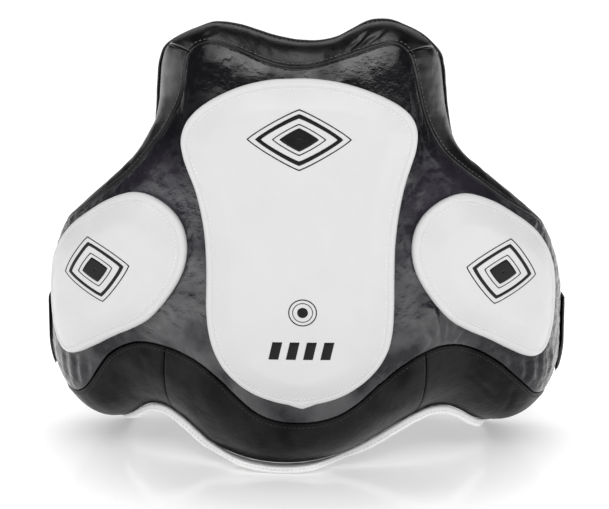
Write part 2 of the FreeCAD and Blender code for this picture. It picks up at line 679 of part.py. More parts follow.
STRAP_TAN = (0.93, 0.3676)
STRAP_TOP = 408.0
STRAP_LEN, STRAP_THICK = 150.0, 9.0
RING_DROP = STRAP_TOP - 6.0 - STRAP_LEN
TAIL_LEN = 88.0
for side, word in ((-1, "left"), (1, "right")):
    # centre line of the strap stands 9 mm behind the lining of the horn
    s_in = side * 119.0
    p = inner_point(s_in, STRAP_TOP)
    tx, ty = STRAP_TAN[0], side * STRAP_TAN[1]
    nx, ny = -ty, tx
    ox, oy = p[0] + nx * 9.0 + side * 1.5, p[1] + ny * 9.0

    def ob(dx0, dx1, dn0, dn1, z0, z1):
        pts = [V(ox + tx * u + nx * n + SHIFT[0], oy + ty * u + ny * n + SHIFT[1], z0 + SHIFT[2])
               for u, n in ((dx0, dn0), (dx1, dn0), (dx1, dn1), (dx0, dn1))]
        return Part.Face(Part.makePolygon(pts + [pts[0]])).extrude(V(0, 0, z1 - z0))

    hw = STRAP_WIDTH / 2
    # anchor: stitched patch on the lining with a rolled fold that the strap turns on
    patch = ob(-hw + 2, hw - 2, -5.7, -2.6, STRAP_TOP - 4.4, STRAP_TOP + 2.4)
    roll = Part.makeCylinder(2.6, 2 * hw - 6, V(ox - tx * (hw - 3) + SHIFT[0], oy - ty * (hw - 3) + SHIFT[1], STRAP_TOP + SHIFT[2]),
                             V(tx, ty, 0))
    web = ob(-hw + 3, hw - 3, -5.5, 0.0, STRAP_TOP - 1.0, STRAP_TOP + 1.0)
    anchor = patch.fuse(web).fuse(roll).removeSplitter()
    save(word + "_strap_anchor", anchor.Solids[0])
    z_low = STRAP_TOP - 6 - STRAP_LEN
    body = ob(-hw, hw, -STRAP_THICK / 2, STRAP_THICK / 2, z_low, STRAP_TOP - 5.0)
    save(word + "_shoulder_strap", round_box(body, 3.0))
    ring_z = z_low - 5.0
    hook = ob(-hw + 6, hw - 6, -1.5, 1.5, ring_z + RING_WIRE / 2 + 0.2, z_low - 0.2)
    save(word + "_strap_ring_tab", hook)
    save(word + "_strap_ring", frame_ring((ox, oy, ring_z), (tx, ty, 0.0), STRAP_WIDTH - 2, 16.0, RING_WIRE / 2))
    tail_top = ring_z - 16.0 - RING_WIRE / 2 - 0.4
    tw = TAIL_WIDTH / 2
    save(word + "_strap_tail", ob(-tw, tw, -1.3, 1.3, tail_top - TAIL_LEN, tail_top))
    save(word + "_tail_hook_strip", ob(-tw + 2, tw - 2, 1.32, 2.5, tail_top - TAIL_LEN + 2, tail_top - TAIL_LEN + 46))
    print(word, "strap axis", [round(v, 2) for v in (ox, oy, STRAP_TOP)], "tan", tx, ty, "ring z", ring_z, "tail top", tail_top)

# ------------------------------------------------------------ receiving rings on the wings
for side, word in ((-1, "left"), (1, "right")):
    s_in = side * 246.0
    p = inner_point(s_in, 168.0)
    cx, cy = p[0] - side * 4.6, p[1]
    patch = Part.makeBox(3.0, 34.0, 40.0, V((p[0] - 3.6 if side > 0 else p[0] + 0.6) + SHIFT[0], cy - 17 + SHIFT[1], 166.0 + SHIFT[2]))
    save(word + "_wing_chape", patch)
    save(word + "_wing_ring", frame_ring((cx - side * 1.2, cy, 162.0), (0, 1, 0), 44.0, 18.0, RING_WIRE / 2))
    print(word, "wing ring axis", round(cx - side * 1.2, 2), round(cy, 2), 162.0)

boxes = [s.optimalBoundingBox(False, False) for s in DONE.values()]
for k, b in zip(DONE, boxes):
    if b.ZMin < 6 or b.XMin < -262 or b.XMax > 262 or b.YMin < -180 or b.YMax > 88 or b.ZMax > 449:
        print("   extreme", k, round(b.XMin, 2), round(b.XMax, 2), round(b.YMin, 2), round(b.YMax, 2), round(b.ZMin, 2), round(b.ZMax, 2))
print("nodes", len(DONE), "box x %.1f..%.1f y %.1f..%.1f z %.1f..%.1f" % (
    min(b.XMin for b in boxes), max(b.XMax for b in boxes), min(b.YMin for b in boxes), max(b.YMax for b in boxes),
    min(b.ZMin for b in boxes), max(b.ZMax for b in boxes)))
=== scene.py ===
import json
import math

import bpy
import numpy as np
from mathutils import Vector, Matrix
from mathutils.geometry import delaunay_2d_cdt


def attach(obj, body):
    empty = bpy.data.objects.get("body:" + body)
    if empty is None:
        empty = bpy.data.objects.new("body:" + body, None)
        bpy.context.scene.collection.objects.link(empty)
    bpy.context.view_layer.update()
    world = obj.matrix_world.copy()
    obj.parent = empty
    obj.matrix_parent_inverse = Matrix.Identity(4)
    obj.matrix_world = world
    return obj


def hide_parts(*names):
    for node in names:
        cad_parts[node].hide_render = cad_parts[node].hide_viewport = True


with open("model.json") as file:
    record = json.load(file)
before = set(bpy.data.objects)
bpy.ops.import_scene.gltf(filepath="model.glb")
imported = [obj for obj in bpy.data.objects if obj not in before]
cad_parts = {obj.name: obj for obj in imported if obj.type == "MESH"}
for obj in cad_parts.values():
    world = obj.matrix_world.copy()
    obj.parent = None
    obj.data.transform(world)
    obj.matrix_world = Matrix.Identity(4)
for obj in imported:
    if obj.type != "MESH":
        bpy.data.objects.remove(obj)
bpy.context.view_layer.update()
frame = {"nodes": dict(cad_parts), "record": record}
NODES = frame["nodes"]

# ------------------------------------------------------------------ the same map as the CAD part, millimetres
HALF_OUT, DEPTH_OUT, POWER_OUT, REAR_OUT, TUCK_OUT = 249.0, 156.0, 2.35, 48.0, 6.0
HALF_IN, DEPTH_IN, POWER_IN, REAR_IN, TUCK_IN = 187.0, 84.0, 2.3, 54.0, 1.5
CROWN, CROWN_RUN, SWELL = 12.0, 48.0, 8.5
SHIFT = np.array((0.0, 46.75, 0.04))
WIDTH = 760.0
TOP_OUT = [(-380.6, 182.0), (-356.0, 188.0), (-332.0, 198.0), (-300.0, 221.0), (-269.7, 246.1), (-245.7, 258.9),
           (-221.3, 273.4), (-196.7, 289.7), (-179.5, 302.0), (-159.1, 321.4), (-143.7, 339.9), (-132.5, 354.0),
           (-125.3, 366.5), (-116.0, 385.7), (-112.3, 402.8), (-110.2, 418.2), (-107.0, 428.0), (-100.7, 434.2),
           (-89.9, 438.0), (-76.4, 436.9), (-61.8, 432.6), (-48.9, 426.8), (-36.6, 421.4), (-21.5, 416.8),
           (-6.0, 414.8), (5.9, 415.5), (17.2, 417.8), (25.4, 420.2), (38.9, 424.6), (52.4, 428.9), (70.5, 435.0),
           (83.2, 438.2), (94.2, 435.9), (101.5, 429.0), (106.3, 416.0), (111.2, 395.8), (117.2, 371.9),
           (126.8, 349.6), (138.6, 332.6), (156.5, 316.8), (179.6, 300.1), (212.1, 277.7), (228.1, 268.6),
           (250.4, 257.0), (274.0, 243.0), (300.0, 219.0), (332.0, 195.0), (356.0, 185.0), (380.6, 180.0)]
BOT_OUT = [(-380.6, 56.0), (-356.0, 59.0), (-332.0, 62.5), (-300.0, 67.0), (-275.0, 69.0), (-252.6, 70.8),
           (-238.0, 77.5), (-227.8, 87.0), (-211.2, 107.3), (-199.7, 120.4), (-185.2, 130.5), (-164.3, 138.6),
           (-135.2, 137.3), (-105.9, 126.4), (-81.0, 107.9), (-60.1, 87.5), (-47.0, 76.5), (-33.8, 69.8),
           (-16.8, 65.8), (1.5, 65.3), (18.5, 67.1), (38.0, 73.6), (57.5, 86.5), (73.0, 101.0), (99.2, 122.2),
           (122.1, 135.0), (137.0, 139.8), (155.0, 139.6), (175.0, 132.5), (197.7, 118.7), (223.4, 98.1),
           (244.2, 81.5), (258.0, 72.0), (276.0, 67.0), (300.0, 65.0), (332.0, 62.0), (356.0, 59.0), (380.6, 56.0)]
TOP_IN = [(-281.6, 196.0), (-256.0, 214.0), (-227.0, 236.0), (-203.0, 263.0), (-168.0, 300.0), (-150.0, 331.0),
          (-144.8, 366.7), (-143.5, 388.0), (-140.8, 408.0), (-134.5, 421.0), (-119.7, 430.9), (-101.3, 439.2),
          (-77.8, 444.3), (-62.0, 442.2), (-47.4, 438.0), (-32.8, 433.4), (-18.2, 430.0), (-3.6, 427.7),
          (14.8, 427.4), (33.2, 431.2), (47.7, 438.6), (61.3, 445.8), (76.2, 448.0), (95.1, 443.0), (116.4, 431.5),
          (129.5, 418.5), (135.2, 404.4), (137.5, 384.6), (139.5, 364.7), (146.5, 329.0), (168.0, 296.0),
          (203.0, 259.0), (227.0, 232.0), (256.0, 212.0), (281.6, 194.0)]
BOT_IN = [(-281.6, 0.0), (-256.0, 8.5), (-225.0, 21.0), (-200.0, 32.0), (-184.0, 40.0), (-170.3, 48.1),
          (-157.1, 53.4), (-143.3, 53.6), (-133.6, 50.0), (-119.5, 41.9), (-104.2, 30.8), (-89.4, 21.0),
          (-63.9, 11.5), (-50.2, 8.4), (-29.9, 6.0), (-9.6, 6.0), (10.6, 8.4), (30.7, 13.4), (50.9, 20.9),
          (71.2, 30.6), (91.6, 41.2), (112.5, 51.2), (128.0, 56.2), (144.0, 56.2), (161.2, 49.4), (175.5, 40.5),
          (200.0, 31.0), (225.0, 21.0), (256.0, 8.5), (281.6, 0.0)]
TOP_TIES = [(0, 0), (2, 2), (4, 3), (7, 4), (10, 5), (13, 6), (16, 9), (18, 11), (20, 12), (25, 17), (29, 21),
            (31, 23), (33, 25), (36, 28), (38, 29), (41, 30), (44, 31), (46, 32), (48, 34)]
BOT_TIES = [(0, 0), (2, 2), (5, 3), (8, 5), (10, 6), (12, 8), (15, 11), (19, 15), (23, 19), (25, 21), (27, 23),
            (29, 25), (32, 26), (35, 27), (37, 29)]


def plan_curve(a, b, n, rear, tuck):
    t = np.pi / 2 * np.arange(401) / 400
    p = np.stack([a * np.sin(t) ** (2 / n), -b * np.maximum(np.cos(t), 0) ** (2 / n)], 1)
    y = rear * np.arange(1, 61) / 60
    p = np.vstack([p, np.stack([a - tuck * (y / rear) ** 2, y], 1)])
    s = np.concatenate([[0], np.cumsum(np.hypot(*np.diff(p, axis=0).T))])
    return s, p


def lookup(table, s):
    ss, pts = table
    t = np.abs(s)
    x = np.interp(t, ss, pts[:, 0])
    y = np.interp(t, ss, pts[:, 1]) + np.maximum(t - ss[-1], 0)
    return np.where(s >= 0, x, -x), y


OUTER = plan_curve(HALF_OUT, DEPTH_OUT, POWER_OUT, REAR_OUT, TUCK_OUT)
INNER = plan_curve(HALF_IN, DEPTH_IN, POWER_IN, REAR_IN, TUCK_IN)


def smooth(t):
    t = np.clip(t, 0, 1)
    return t * t * (3 - 2 * t)


def outer_point(s, z):
    s, z = np.broadcast_arrays(np.asarray(s, float), np.asarray(z, float))
    x, y = lookup(OUTER, s)
    y = np.where(y < 0, y * (1 - 0.085 * smooth((z - 230) / 190) - 0.03 * smooth((60 - z) / 60)), y)
    return np.stack([x, y, z], -1)


def inner_point(s, z):
    s, z = np.broadcast_arrays(np.asarray(s, float), np.asarray(z, float))
    x, y = lookup(INNER, s)
    y = np.where(y < 0, y * (1 + 0.18 * smooth((75 - z) / 75) - 0.10 * smooth((z - 230) / 190)), y)
    return np.stack([x, y, z], -1)


def unit(v):
    return v / np.maximum(np.linalg.norm(v, axis=-1, keepdims=True), 1e-9)


class Track:
    def __init__(self, t, rows):
        self.t, self.rows = np.asarray(t, float), np.asarray(rows, float)
        h = np.diff(self.t)
        d = np.diff(self.rows, axis=0) / h[:, None]
        m = np.empty_like(self.rows)
        m[0], m[-1] = d[0], d[-1]
        m[1:-1] = (d[:-1] * h[1:, None] + d[1:] * h[:-1, None]) / (h[:-1] + h[1:])[:, None]
        self.m = m

    def __call__(self, u):
        u = np.clip(np.asarray(u, float), self.t[0], self.t[-1])
        i = np.clip(np.searchsorted(self.t, u, side="right") - 1, 0, len(self.t) - 2)
        h = (self.t[i + 1] - self.t[i])
        f = (u - self.t[i]) / h
        f, h = f[..., None], h[..., None]
        return ((2 * f ** 3 - 3 * f ** 2 + 1) * self.rows[i] + (f ** 3 - 2 * f ** 2 + f) * h * self.m[i]
                + (-2 * f ** 3 + 3 * f ** 2) * self.rows[i + 1] + (f ** 3 - f ** 2) * h * self.m[i + 1])


def arc(rows):
    return np.concatenate([[0], np.cumsum(np.hypot(*np.diff(np.asarray(rows, float), axis=0).T))])


def tie(out_rows, in_rows, ties):
    so, si = arc(out_rows), arc(in_rows)
    to = so / so[-1]
    ti = []
    for i in range(len(in_rows)):
        for (o0, i0), (o1, i1) in zip(ties, ties[1:]):
            if i0 <= i <= i1:
                ti.append(to[o0] + (si[i] - si[i0]) / (si[i1] - si[i0]) * (to[o1] - to[o0]))
                break
    return Track(to, out_rows), Track(ti, in_rows)


T_OUT, T_IN = tie(TOP_OUT, TOP_IN, TOP_TIES)
B_OUT, B_IN = tie(BOT_OUT, BOT_IN, BOT_TIES)
HORN_L, HORN_R = T_OUT.t[16], T_OUT.t[33]
ARCH_L, ARCH_R = B_OUT.t[12], B_OUT.t[25]


def ease(v, run):
    return 1 - (1 - np.clip(v / run, 0, 1)) ** 2


def sizes(a):
    return np.linalg.norm(T_OUT(a) - B_OUT(a), axis=-1)


def slant_table(track, other):
    a = np.linspace(0, 1, 1001)
    best = np.zeros_like(a)
    for k in (-2, -1, 0, 1, 2):
        x = np.clip(a + 0.003 * k, 0.002, 0.998)
        p, q, m, o = track(x - 0.002), track(x + 0.002), track(x), other(x)
        t, b = q - p, m - o
        best += np.abs(t[:, 0] * b[:, 1] - t[:, 1] * b[:, 0]) / (np.hypot(*t.T) * np.hypot(*b.T)) / 5
    return a, np.clip(best, 0.13, 1.0)


SLANT_T, SLANT_B = slant_table(T_OUT, B_OUT), slant_table(B_OUT, T_OUT)


def slant(a, top):
    return np.interp(a, *(SLANT_T if top else SLANT_B))


def flat_out(a, b):
    p, q = B_OUT(a), T_OUT(a)
    r = p + b[..., None] * (q - p)
    return r[..., 0], r[..., 1]


def base_out(a, b):
    return outer_point(*flat_out(a, b))


def base_in(a, b):
    p, q = B_IN(a), T_IN(a)
    r = p + b[..., None] * (q - p)
    return inner_point(r[..., 0], r[..., 1])


def skin_normal(s, z):
    u = outer_point(s + 1.0, z) - outer_point(s - 1.0, z)
    w = outer_point(s, z + 1.0) - outer_point(s, z - 1.0)
    return unit(np.cross(u, w))


def crown(a, b):
    return CROWN * ease(np.minimum(b, 1 - b) * sizes(a), CROWN_RUN) * ease(np.minimum(a, 1 - a) * WIDTH, CROWN_RUN)


def front(a, b):
    s, z = flat_out(a, b)
    return outer_point(s, z) + skin_normal(s, z) * crown(a, b)[..., None]


def swell(a, b, c):
    out = np.zeros(np.broadcast(a, b, c).shape + (3,))
    lift = 4 * c * (1 - c) * SWELL
    e = 0.004
    for edge, near in ((0.0, b), (1.0, 1 - b)):
        w = (1 - np.minimum(near / 0.28, 1.0)) ** 2
        ed = np.full_like(a, edge)
        a0, a1 = np.maximum(a - e, 0), np.minimum(a + e, 1)
        t = base_out(a1, ed) - base_out(a0, ed) + base_in(a1, ed) - base_in(a0, ed)
        d = base_in(a, ed) - base_out(a, ed)
        n = unit(np.cross(t, d))
        ref = base_out(a, ed) - base_out(a, np.full_like(a, 0.5))
        n = np.where((n * ref).sum(-1, keepdims=True) < 0, -n, n)
        k = 1.0 if edge else 1.25
        out += n * (w * lift * k * ease(np.minimum(a, 1 - a) * WIDTH + 6, 40))[..., None]
    for edge, near in ((0, a), (1, 1 - a)):
        w = (1 - np.minimum(near / 0.07, 1.0)) ** 2
        sign = -1.0 if edge == 0 else 1.0
        out += np.array((0.12 * sign, 0.99, 0.0)) * (w * lift * 0.8 * ease(np.minimum(b, 1 - b) * sizes(a) + 6, 40))[..., None]
    return out


def point(a, b, c):
    a, b, c = np.broadcast_arrays(np.clip(a, 0, 1), np.clip(b, 0, 1), np.clip(c, 0, 1))
    p, q = front(a, b), base_in(a, b)
    return p + c[..., None] * (q - p) + swell(a, b, c)


def unflat(s, z):
    s, z = np.broadcast_arrays(np.asarray(s, float), np.asarray(z, float))
    lo, hi = np.zeros(s.shape), np.ones(s.shape)
    for _ in range(40):
        a = (lo + hi) / 2
        p, q = B_OUT(a), T_OUT(a)
        b = (z - p[..., 1]) / (q[..., 1] - p[..., 1])
        less = p[..., 0] + b * (q[..., 0] - p[..., 0]) < s
        lo, hi = np.where(less, a, lo), np.where(less, hi, a)
    return a, np.clip(b, 0, 1)


def skin(s, z, t):
    s, z = np.broadcast_arrays(np.asarray(s, float), np.asarray(z, float))
    a, b = unflat(s, z)
    t = np.broadcast_to(np.asarray(t, float), s.shape)
    return outer_point(s, z) + skin_normal(s, z) * (crown(a, b) + t)[..., None]


# ------------------------------------------------------------------ noise and creases
def noise(x, y, seed, octaves=1):
    """Smooth value noise, about -1..1, wavelength 2 cells."""
    rng = np.random.default_rng(seed)
    out, amp, tot = np.zeros(np.broadcast(x, y).shape), 1.0, 0.0
    for _ in range(octaves):
        t = rng.random((64, 64)) * 2 - 1
        xi, yi = np.floor(x).astype(int), np.floor(y).astype(int)
        fx, fy = x - xi, y - yi
        fx, fy = fx ** 3 * (fx * (fx * 6 - 15) + 10), fy ** 3 * (fy * (fy * 6 - 15) + 10)
        g = lambda i, j: t[(xi + i) % 64, (yi + j) % 64]
        v = (g(0, 0) * (1 - fx) + g(1, 0) * fx) * (1 - fy) + (g(0, 1) * (1 - fx) + g(1, 1) * fx) * fy
        out, tot = out + v * amp, tot + amp
        amp, x, y = amp * 0.5, x * 2.03 + 7.1, y * 2.03 + 3.7
    return out / tot


def line_distance(x, y, pts):
    """Signed distance to a polyline and the 0..1 place along it."""
    pts = np.asarray(pts, float)
    seg = np.hypot(*np.diff(pts, axis=0).T)
    cum = np.concatenate([[0], np.cumsum(seg)])
    best = np.full(x.shape, 1e9)
    sign, place = np.zeros(x.shape), np.zeros(x.shape)
    for i in range(len(pts) - 1):
        p, d = pts[i], pts[i + 1] - pts[i]
        f = np.clip(((x - p[0]) * d[0] + (y - p[1]) * d[1]) / (d @ d), 0, 1)
        ex, ey = x - p[0] - f * d[0], y - p[1] - f * d[1]
        r = np.hypot(ex, ey)
        use = r < best
        best = np.where(use, r, best)
        sign = np.where(use, np.sign(d[0] * ey - d[1] * ex), sign)
        place = np.where(use, (cum[i] + f * seg[i]) / cum[-1], place)
    return best * sign, place


def crease(x, y, pts, depth, width, lip=0.6):
    d, f = line_distance(x, y, pts)
    fade = smooth(f / 0.3) * smooth((1 - f) / 0.3)
    return fade * depth * (-np.exp(-(d / width) ** 2) + lip * np.exp(-((np.abs(d) - 2.0 * width) / (1.2 * width)) ** 2))


def dip(d, r):
    """How far an edge rolled over with radius r lies under the surface at distance d from it."""
    x = np.clip(1 - d / r, 0, 1)
    return r * (1 - np.sqrt(np.maximum(1 - x * x, 0)))


# ------------------------------------------------------------------ meshes
def to_frame(p):
    return (np.asarray(p, float).reshape(-1, 3) + SHIFT) / 1000.0


def make(name, verts, faces, material, body, replaces=(), smooth_shade=True):
    me = bpy.data.meshes.new(name)
    me.from_pydata([tuple(v) for v in np.asarray(verts, float)], [], faces)
    me.validate()
    me.update()
    if smooth_shade:
        me.polygons.foreach_set("use_smooth", np.ones(len(me.polygons), bool))
    ob = bpy.data.objects.new(name, me)
    bpy.context.scene.collection.objects.link(ob)
    for m in material if isinstance(material, (list, tuple)) else [material]:
        me.materials.append(m)
    if body:
        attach(ob, body)
    if replaces:
        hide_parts(*replaces)
    return ob


def grid_faces(n, m, start=0, flip=False):
    """n x m points, index start + i*m + j."""
    i, j = np.meshgrid(np.arange(n - 1), np.arange(m - 1), indexing="ij")
    k = start + i * m + j
    q = np.stack([k, k + m, k + m + 1, k + 1], -1).reshape(-1, 4)
    return (q[:, ::-1] if flip else q).tolist()


def shell_mesh(outer, depth, stride=4):
    """Closed sheet: the outer grid, and a coarser inner grid that lies depth inside it. Outer faces wind outward."""
    n, m = outer.shape[:2]
    du = np.gradient(outer, axis=0)
    dv = np.gradient(outer, axis=1)
    nrm = unit(np.cross(du, dv))
    ii = np.unique(np.concatenate([np.arange(0, n, stride), [n - 1]]))
    jj = np.unique(np.concatenate([np.arange(0, m, stride), [m - 1]]))
    inner = outer[np.ix_(ii, jj)] - nrm[np.ix_(ii, jj)] * (depth[np.ix_(ii, jj)][..., None] if np.ndim(depth) else depth)
    N, M = len(ii), len(jj)
    base = n * m
    verts = np.concatenate([outer.reshape(-1, 3), inner.reshape(-1, 3)])
    faces = grid_faces(n, m) + grid_faces(N, M, base, flip=True)
    O = lambda i, j: int(i * m + j)
    I = lambda i, j: int(base + i * M + j)
    for k in range(N - 1):
        a, b = ii[k], ii[k + 1]
        faces.append([O(i, 0) for i in range(b, a - 1, -1)] + [I(k, 0), I(k + 1, 0)])
        faces.append([O(i, m - 1) for i in range(a, b + 1)] + [I(k + 1, M - 1), I(k, M - 1)])
    for k in range(M - 1):
        a, b = jj[k], jj[k + 1]
        faces.append([O(0, j) for j in range(a, b + 1)] + [I(0, k + 1), I(0, k)])
        faces.append([O(n - 1, j) for j in range(b, a - 1, -1)] + [I(N - 1, k), I(N - 1, k + 1)])
    return verts, faces


def outward(points, inside):
    """Orient a grid so that its face normals point away from the point or grid 'inside'."""
    du, dv = np.gradient(points, axis=0), np.gradient(points, axis=1)
    n = np.cross(du, dv)
    return points if ((points - inside) * n).sum() > 0 else points[::-1]


def sweep(centres, U, W, prof, round_end=None, caps=True):
    """Closed tube: prof is (N, M, 2) or (M, 2) of u, w offsets. Winds outward for a counter-clockwise profile seen along the path."""
    N = len(centres)
    prof = np.broadcast_to(prof, (N,) + np.shape(prof)[-2:])
    M = prof.shape[1]
    v = centres[:, None, :] + prof[..., :1] * U[:, None, :] + prof[..., 1:] * W[:, None, :]
    verts = v.reshape(-1, 3)
    faces = []
    for i in range(N - 1):
        for j in range(M):
            k = (j + 1) % M
            faces.append([i * M + j, i * M + k, (i + 1) * M + k, (i + 1) * M + j])
    if caps:
        c0, c1 = v[0].mean(0), v[-1].mean(0)
        verts = np.concatenate([verts, [c0, c1]])
        a, b = N * M, N * M + 1
        for j in range(M):
            k = (j + 1) % M
            faces.append([a, k, j])
            faces.append([b, (N - 1) * M + j, (N - 1) * M + k])
    return verts, faces


def fix_winding(verts, faces):
    """Reverse all faces if the closed mesh's volume comes out negative."""
    v = np.asarray(verts)
    vol = 0.0
    for f in faces:
        p = v[f[0]]
        for i in range(1, len(f) - 1):
            vol += np.dot(p, np.cross(v[f[i]], v[f[i + 1]]))
    return [list(reversed(f)) for f in faces] if vol < 0 else faces


def rounded(hu, hw, r, per=4):
    """Rounded rectangle profile, counter-clockwise."""
    r = min(r, hu * 0.999, hw * 0.999)
    out = []
    for cx, cy, a0 in ((hu - r, hw - r, 0), (-hu + r, hw - r, 90), (-hu + r, -hw + r, 180), (hu - r, -hw + r, 270)):
        for k in range(per + 1):
            t = math.radians(a0 + 90 * k / per)
            out.append((cx + r * math.cos(t), cy + r * math.sin(t)))
    return np.array(out)


def stitch_mesh(path, normal, length=3.4, gap=1.7, radius=0.42, lift=0.1, sides=6):
    """Rows of small sewn stitches along a path (K,3), each a rounded thread that dives at both ends."""
    path, normal = np.asarray(path, float), np.asarray(normal, float)
    seg = np.linalg.norm(np.diff(path, axis=0), axis=1)
    cum = np.concatenate([[0], np.cumsum(seg)])
    total = cum[-1]
    count = max(int(total / (length + gap)), 1)
    pitch = total / count
    at = lambda d, arr: np.stack([np.interp(d, cum, arr[:, k]) for k in range(3)], -1)
    prof = [(-0.5, -0.9, 0.35), (-0.36, 0.1, 0.9), (0.0, 0.45, 1.0), (0.36, 0.1, 0.9), (0.5, -0.9, 0.35)]
    verts, faces = [], []
    mid = (np.arange(count) + 0.5) * pitch
    for f, up, fat in prof:
        d = mid + f * length
        c = at(d, path)
        n = unit(at(d, normal))
        t = unit(at(np.minimum(d + 0.3, total), path) - at(np.maximum(d - 0.3, 0), path))
        b = unit(np.cross(t, n))
        c = c + n * (lift + up * radius)
        ring = [c + (b * math.cos(2 * math.pi * k / sides) + n * math.sin(2 * math.pi * k / sides)) * radius * fat for k in range(sides)]
        verts.append(np.stack(ring, 1))
    v = np.stack(verts, 1)                      # count, rings, sides, 3
    R = len(prof)
    per = R * sides
    for q in range(count):
        o = q * per
        for i in range(R - 1):
            for k in range(sides):
                l = (k + 1) % sides
                faces.append([o + i * sides + k, o + i * sides + l, o + (i + 1) * sides + l, o + (i + 1) * sides + k][::-1])
        faces.append([o + k for k in range(sides)])
        faces.append([o + (R - 1) * sides + k for k in range(sides)][::-1])
    return v.reshape(-1, 3), faces


def join(parts):
    verts, faces, base = [], [], 0
    for v, f in parts:
        verts.append(np.asarray(v, float))
        faces += [[i + base for i in q] for q in f]
        base += len(v)
    return np.concatenate(verts), faces


# ------------------------------------------------------------------ materials
class Mat:
    """A Principled material with small helpers for building its node tree."""

    def __init__(self, name, **constants):
        self.m = bpy.data.materials.new(name)
        self.m.use_nodes = True
        self.t = self.m.node_tree
        self.t.nodes.clear()
        self.out = self.t.nodes.new("ShaderNodeOutputMaterial")
        self.b = self.t.nodes.new("ShaderNodeBsdfPrincipled")
        self.t.links.new(self.b.outputs[0], self.out.inputs[0])
        self.co = self.t.nodes.new("ShaderNodeTexCoord").outputs["Object"]
        for k, v in constants.items():
            self.b.inputs[k.replace("_", " ")].default_value = v
        self.normal = None

    def node(self, kind, **values):
        n = self.t.nodes.new(kind)
        for k, v in values.items():
            if k in n.inputs.keys():
                n.inputs[k].default_value = v
            else:
                setattr(n, k, v)
        return n

    def link(self, a, b):
        self.t.links.new(a, b)

    def noise(self, scale, detail=4.0, rough=0.55, stretch=None):
        co = self.co
        if stretch:
            mp = self.node("ShaderNodeMapping")
            mp.inputs["Scale"].default_value = stretch
            self.link(co, mp.inputs["Vector"])
            co = mp.outputs[0]
        n = self.node("ShaderNodeTexNoise", Scale=scale, Detail=detail, Roughness=rough)
        self.link(co, n.inputs["Vector"])
        return n.outputs["Fac"]

    def cells(self, scale, feature="DISTANCE_TO_EDGE", warp=None):
        n = self.node("ShaderNodeTexVoronoi", feature=feature, Scale=scale)
        self.link(self.co, n.inputs["Vector"])
        return n.outputs["Distance"]

    def wave(self, scale, direction="X", distortion=0.0, profile="SIN"):
        n = self.node("ShaderNodeTexWave", wave_type="BANDS", bands_direction=direction, wave_profile=profile)
        n.inputs["Scale"].default_value = scale
        n.inputs["Distortion"].default_value = distortion
        self.link(self.co, n.inputs["Vector"])
        return n.outputs["Fac"]

    def math(self, op, a, b=0.5, clamp=False):
        n = self.node("ShaderNodeMath", operation=op, use_clamp=clamp)
        for i, v in enumerate((a, b)):
            if isinstance(v, (int, float)):
                n.inputs[i].default_value = v
            else:
                self.link(v, n.inputs[i])
        return n.outputs[0]

    def ramp(self, fac, stops):
        n = self.node("ShaderNodeValToRGB")
        e = n.color_ramp.elements
        while len(e) < len(stops):
            e.new(0.5)
        for k, (pos, col) in enumerate(stops):
            e[k].position = pos
            e[k].color = (*col, 1.0) if len(col) == 3 else col
        self.link(fac, n.inputs[0])
        return n.outputs[0]

    def span(self, fac, lo, hi, a=0.0, b=1.0):
        n = self.node("ShaderNodeMapRange")
        for k, v in (("From Min", a), ("From Max", b), ("To Min", lo), ("To Max", hi)):
            n.inputs[k].default_value = v
        self.link(fac, n.inputs["Value"])
        return n.outputs[0]

    def bump(self, height, strength, distance):
        n = self.node("ShaderNodeBump", Strength=strength, Distance=distance)
        self.link(height, n.inputs["Height"])
        if self.normal is not None:
            self.link(self.normal, n.inputs["Normal"])
        self.normal = n.outputs[0]

    def color(self, socket):
        self.link(socket, self.b.inputs["Base Color"])

    def rough(self, socket):
        self.link(socket, self.b.inputs["Roughness"])

    def done(self):
        if self.normal is not None:
            self.link(self.normal, self.b.inputs["Normal"])
        return self.m


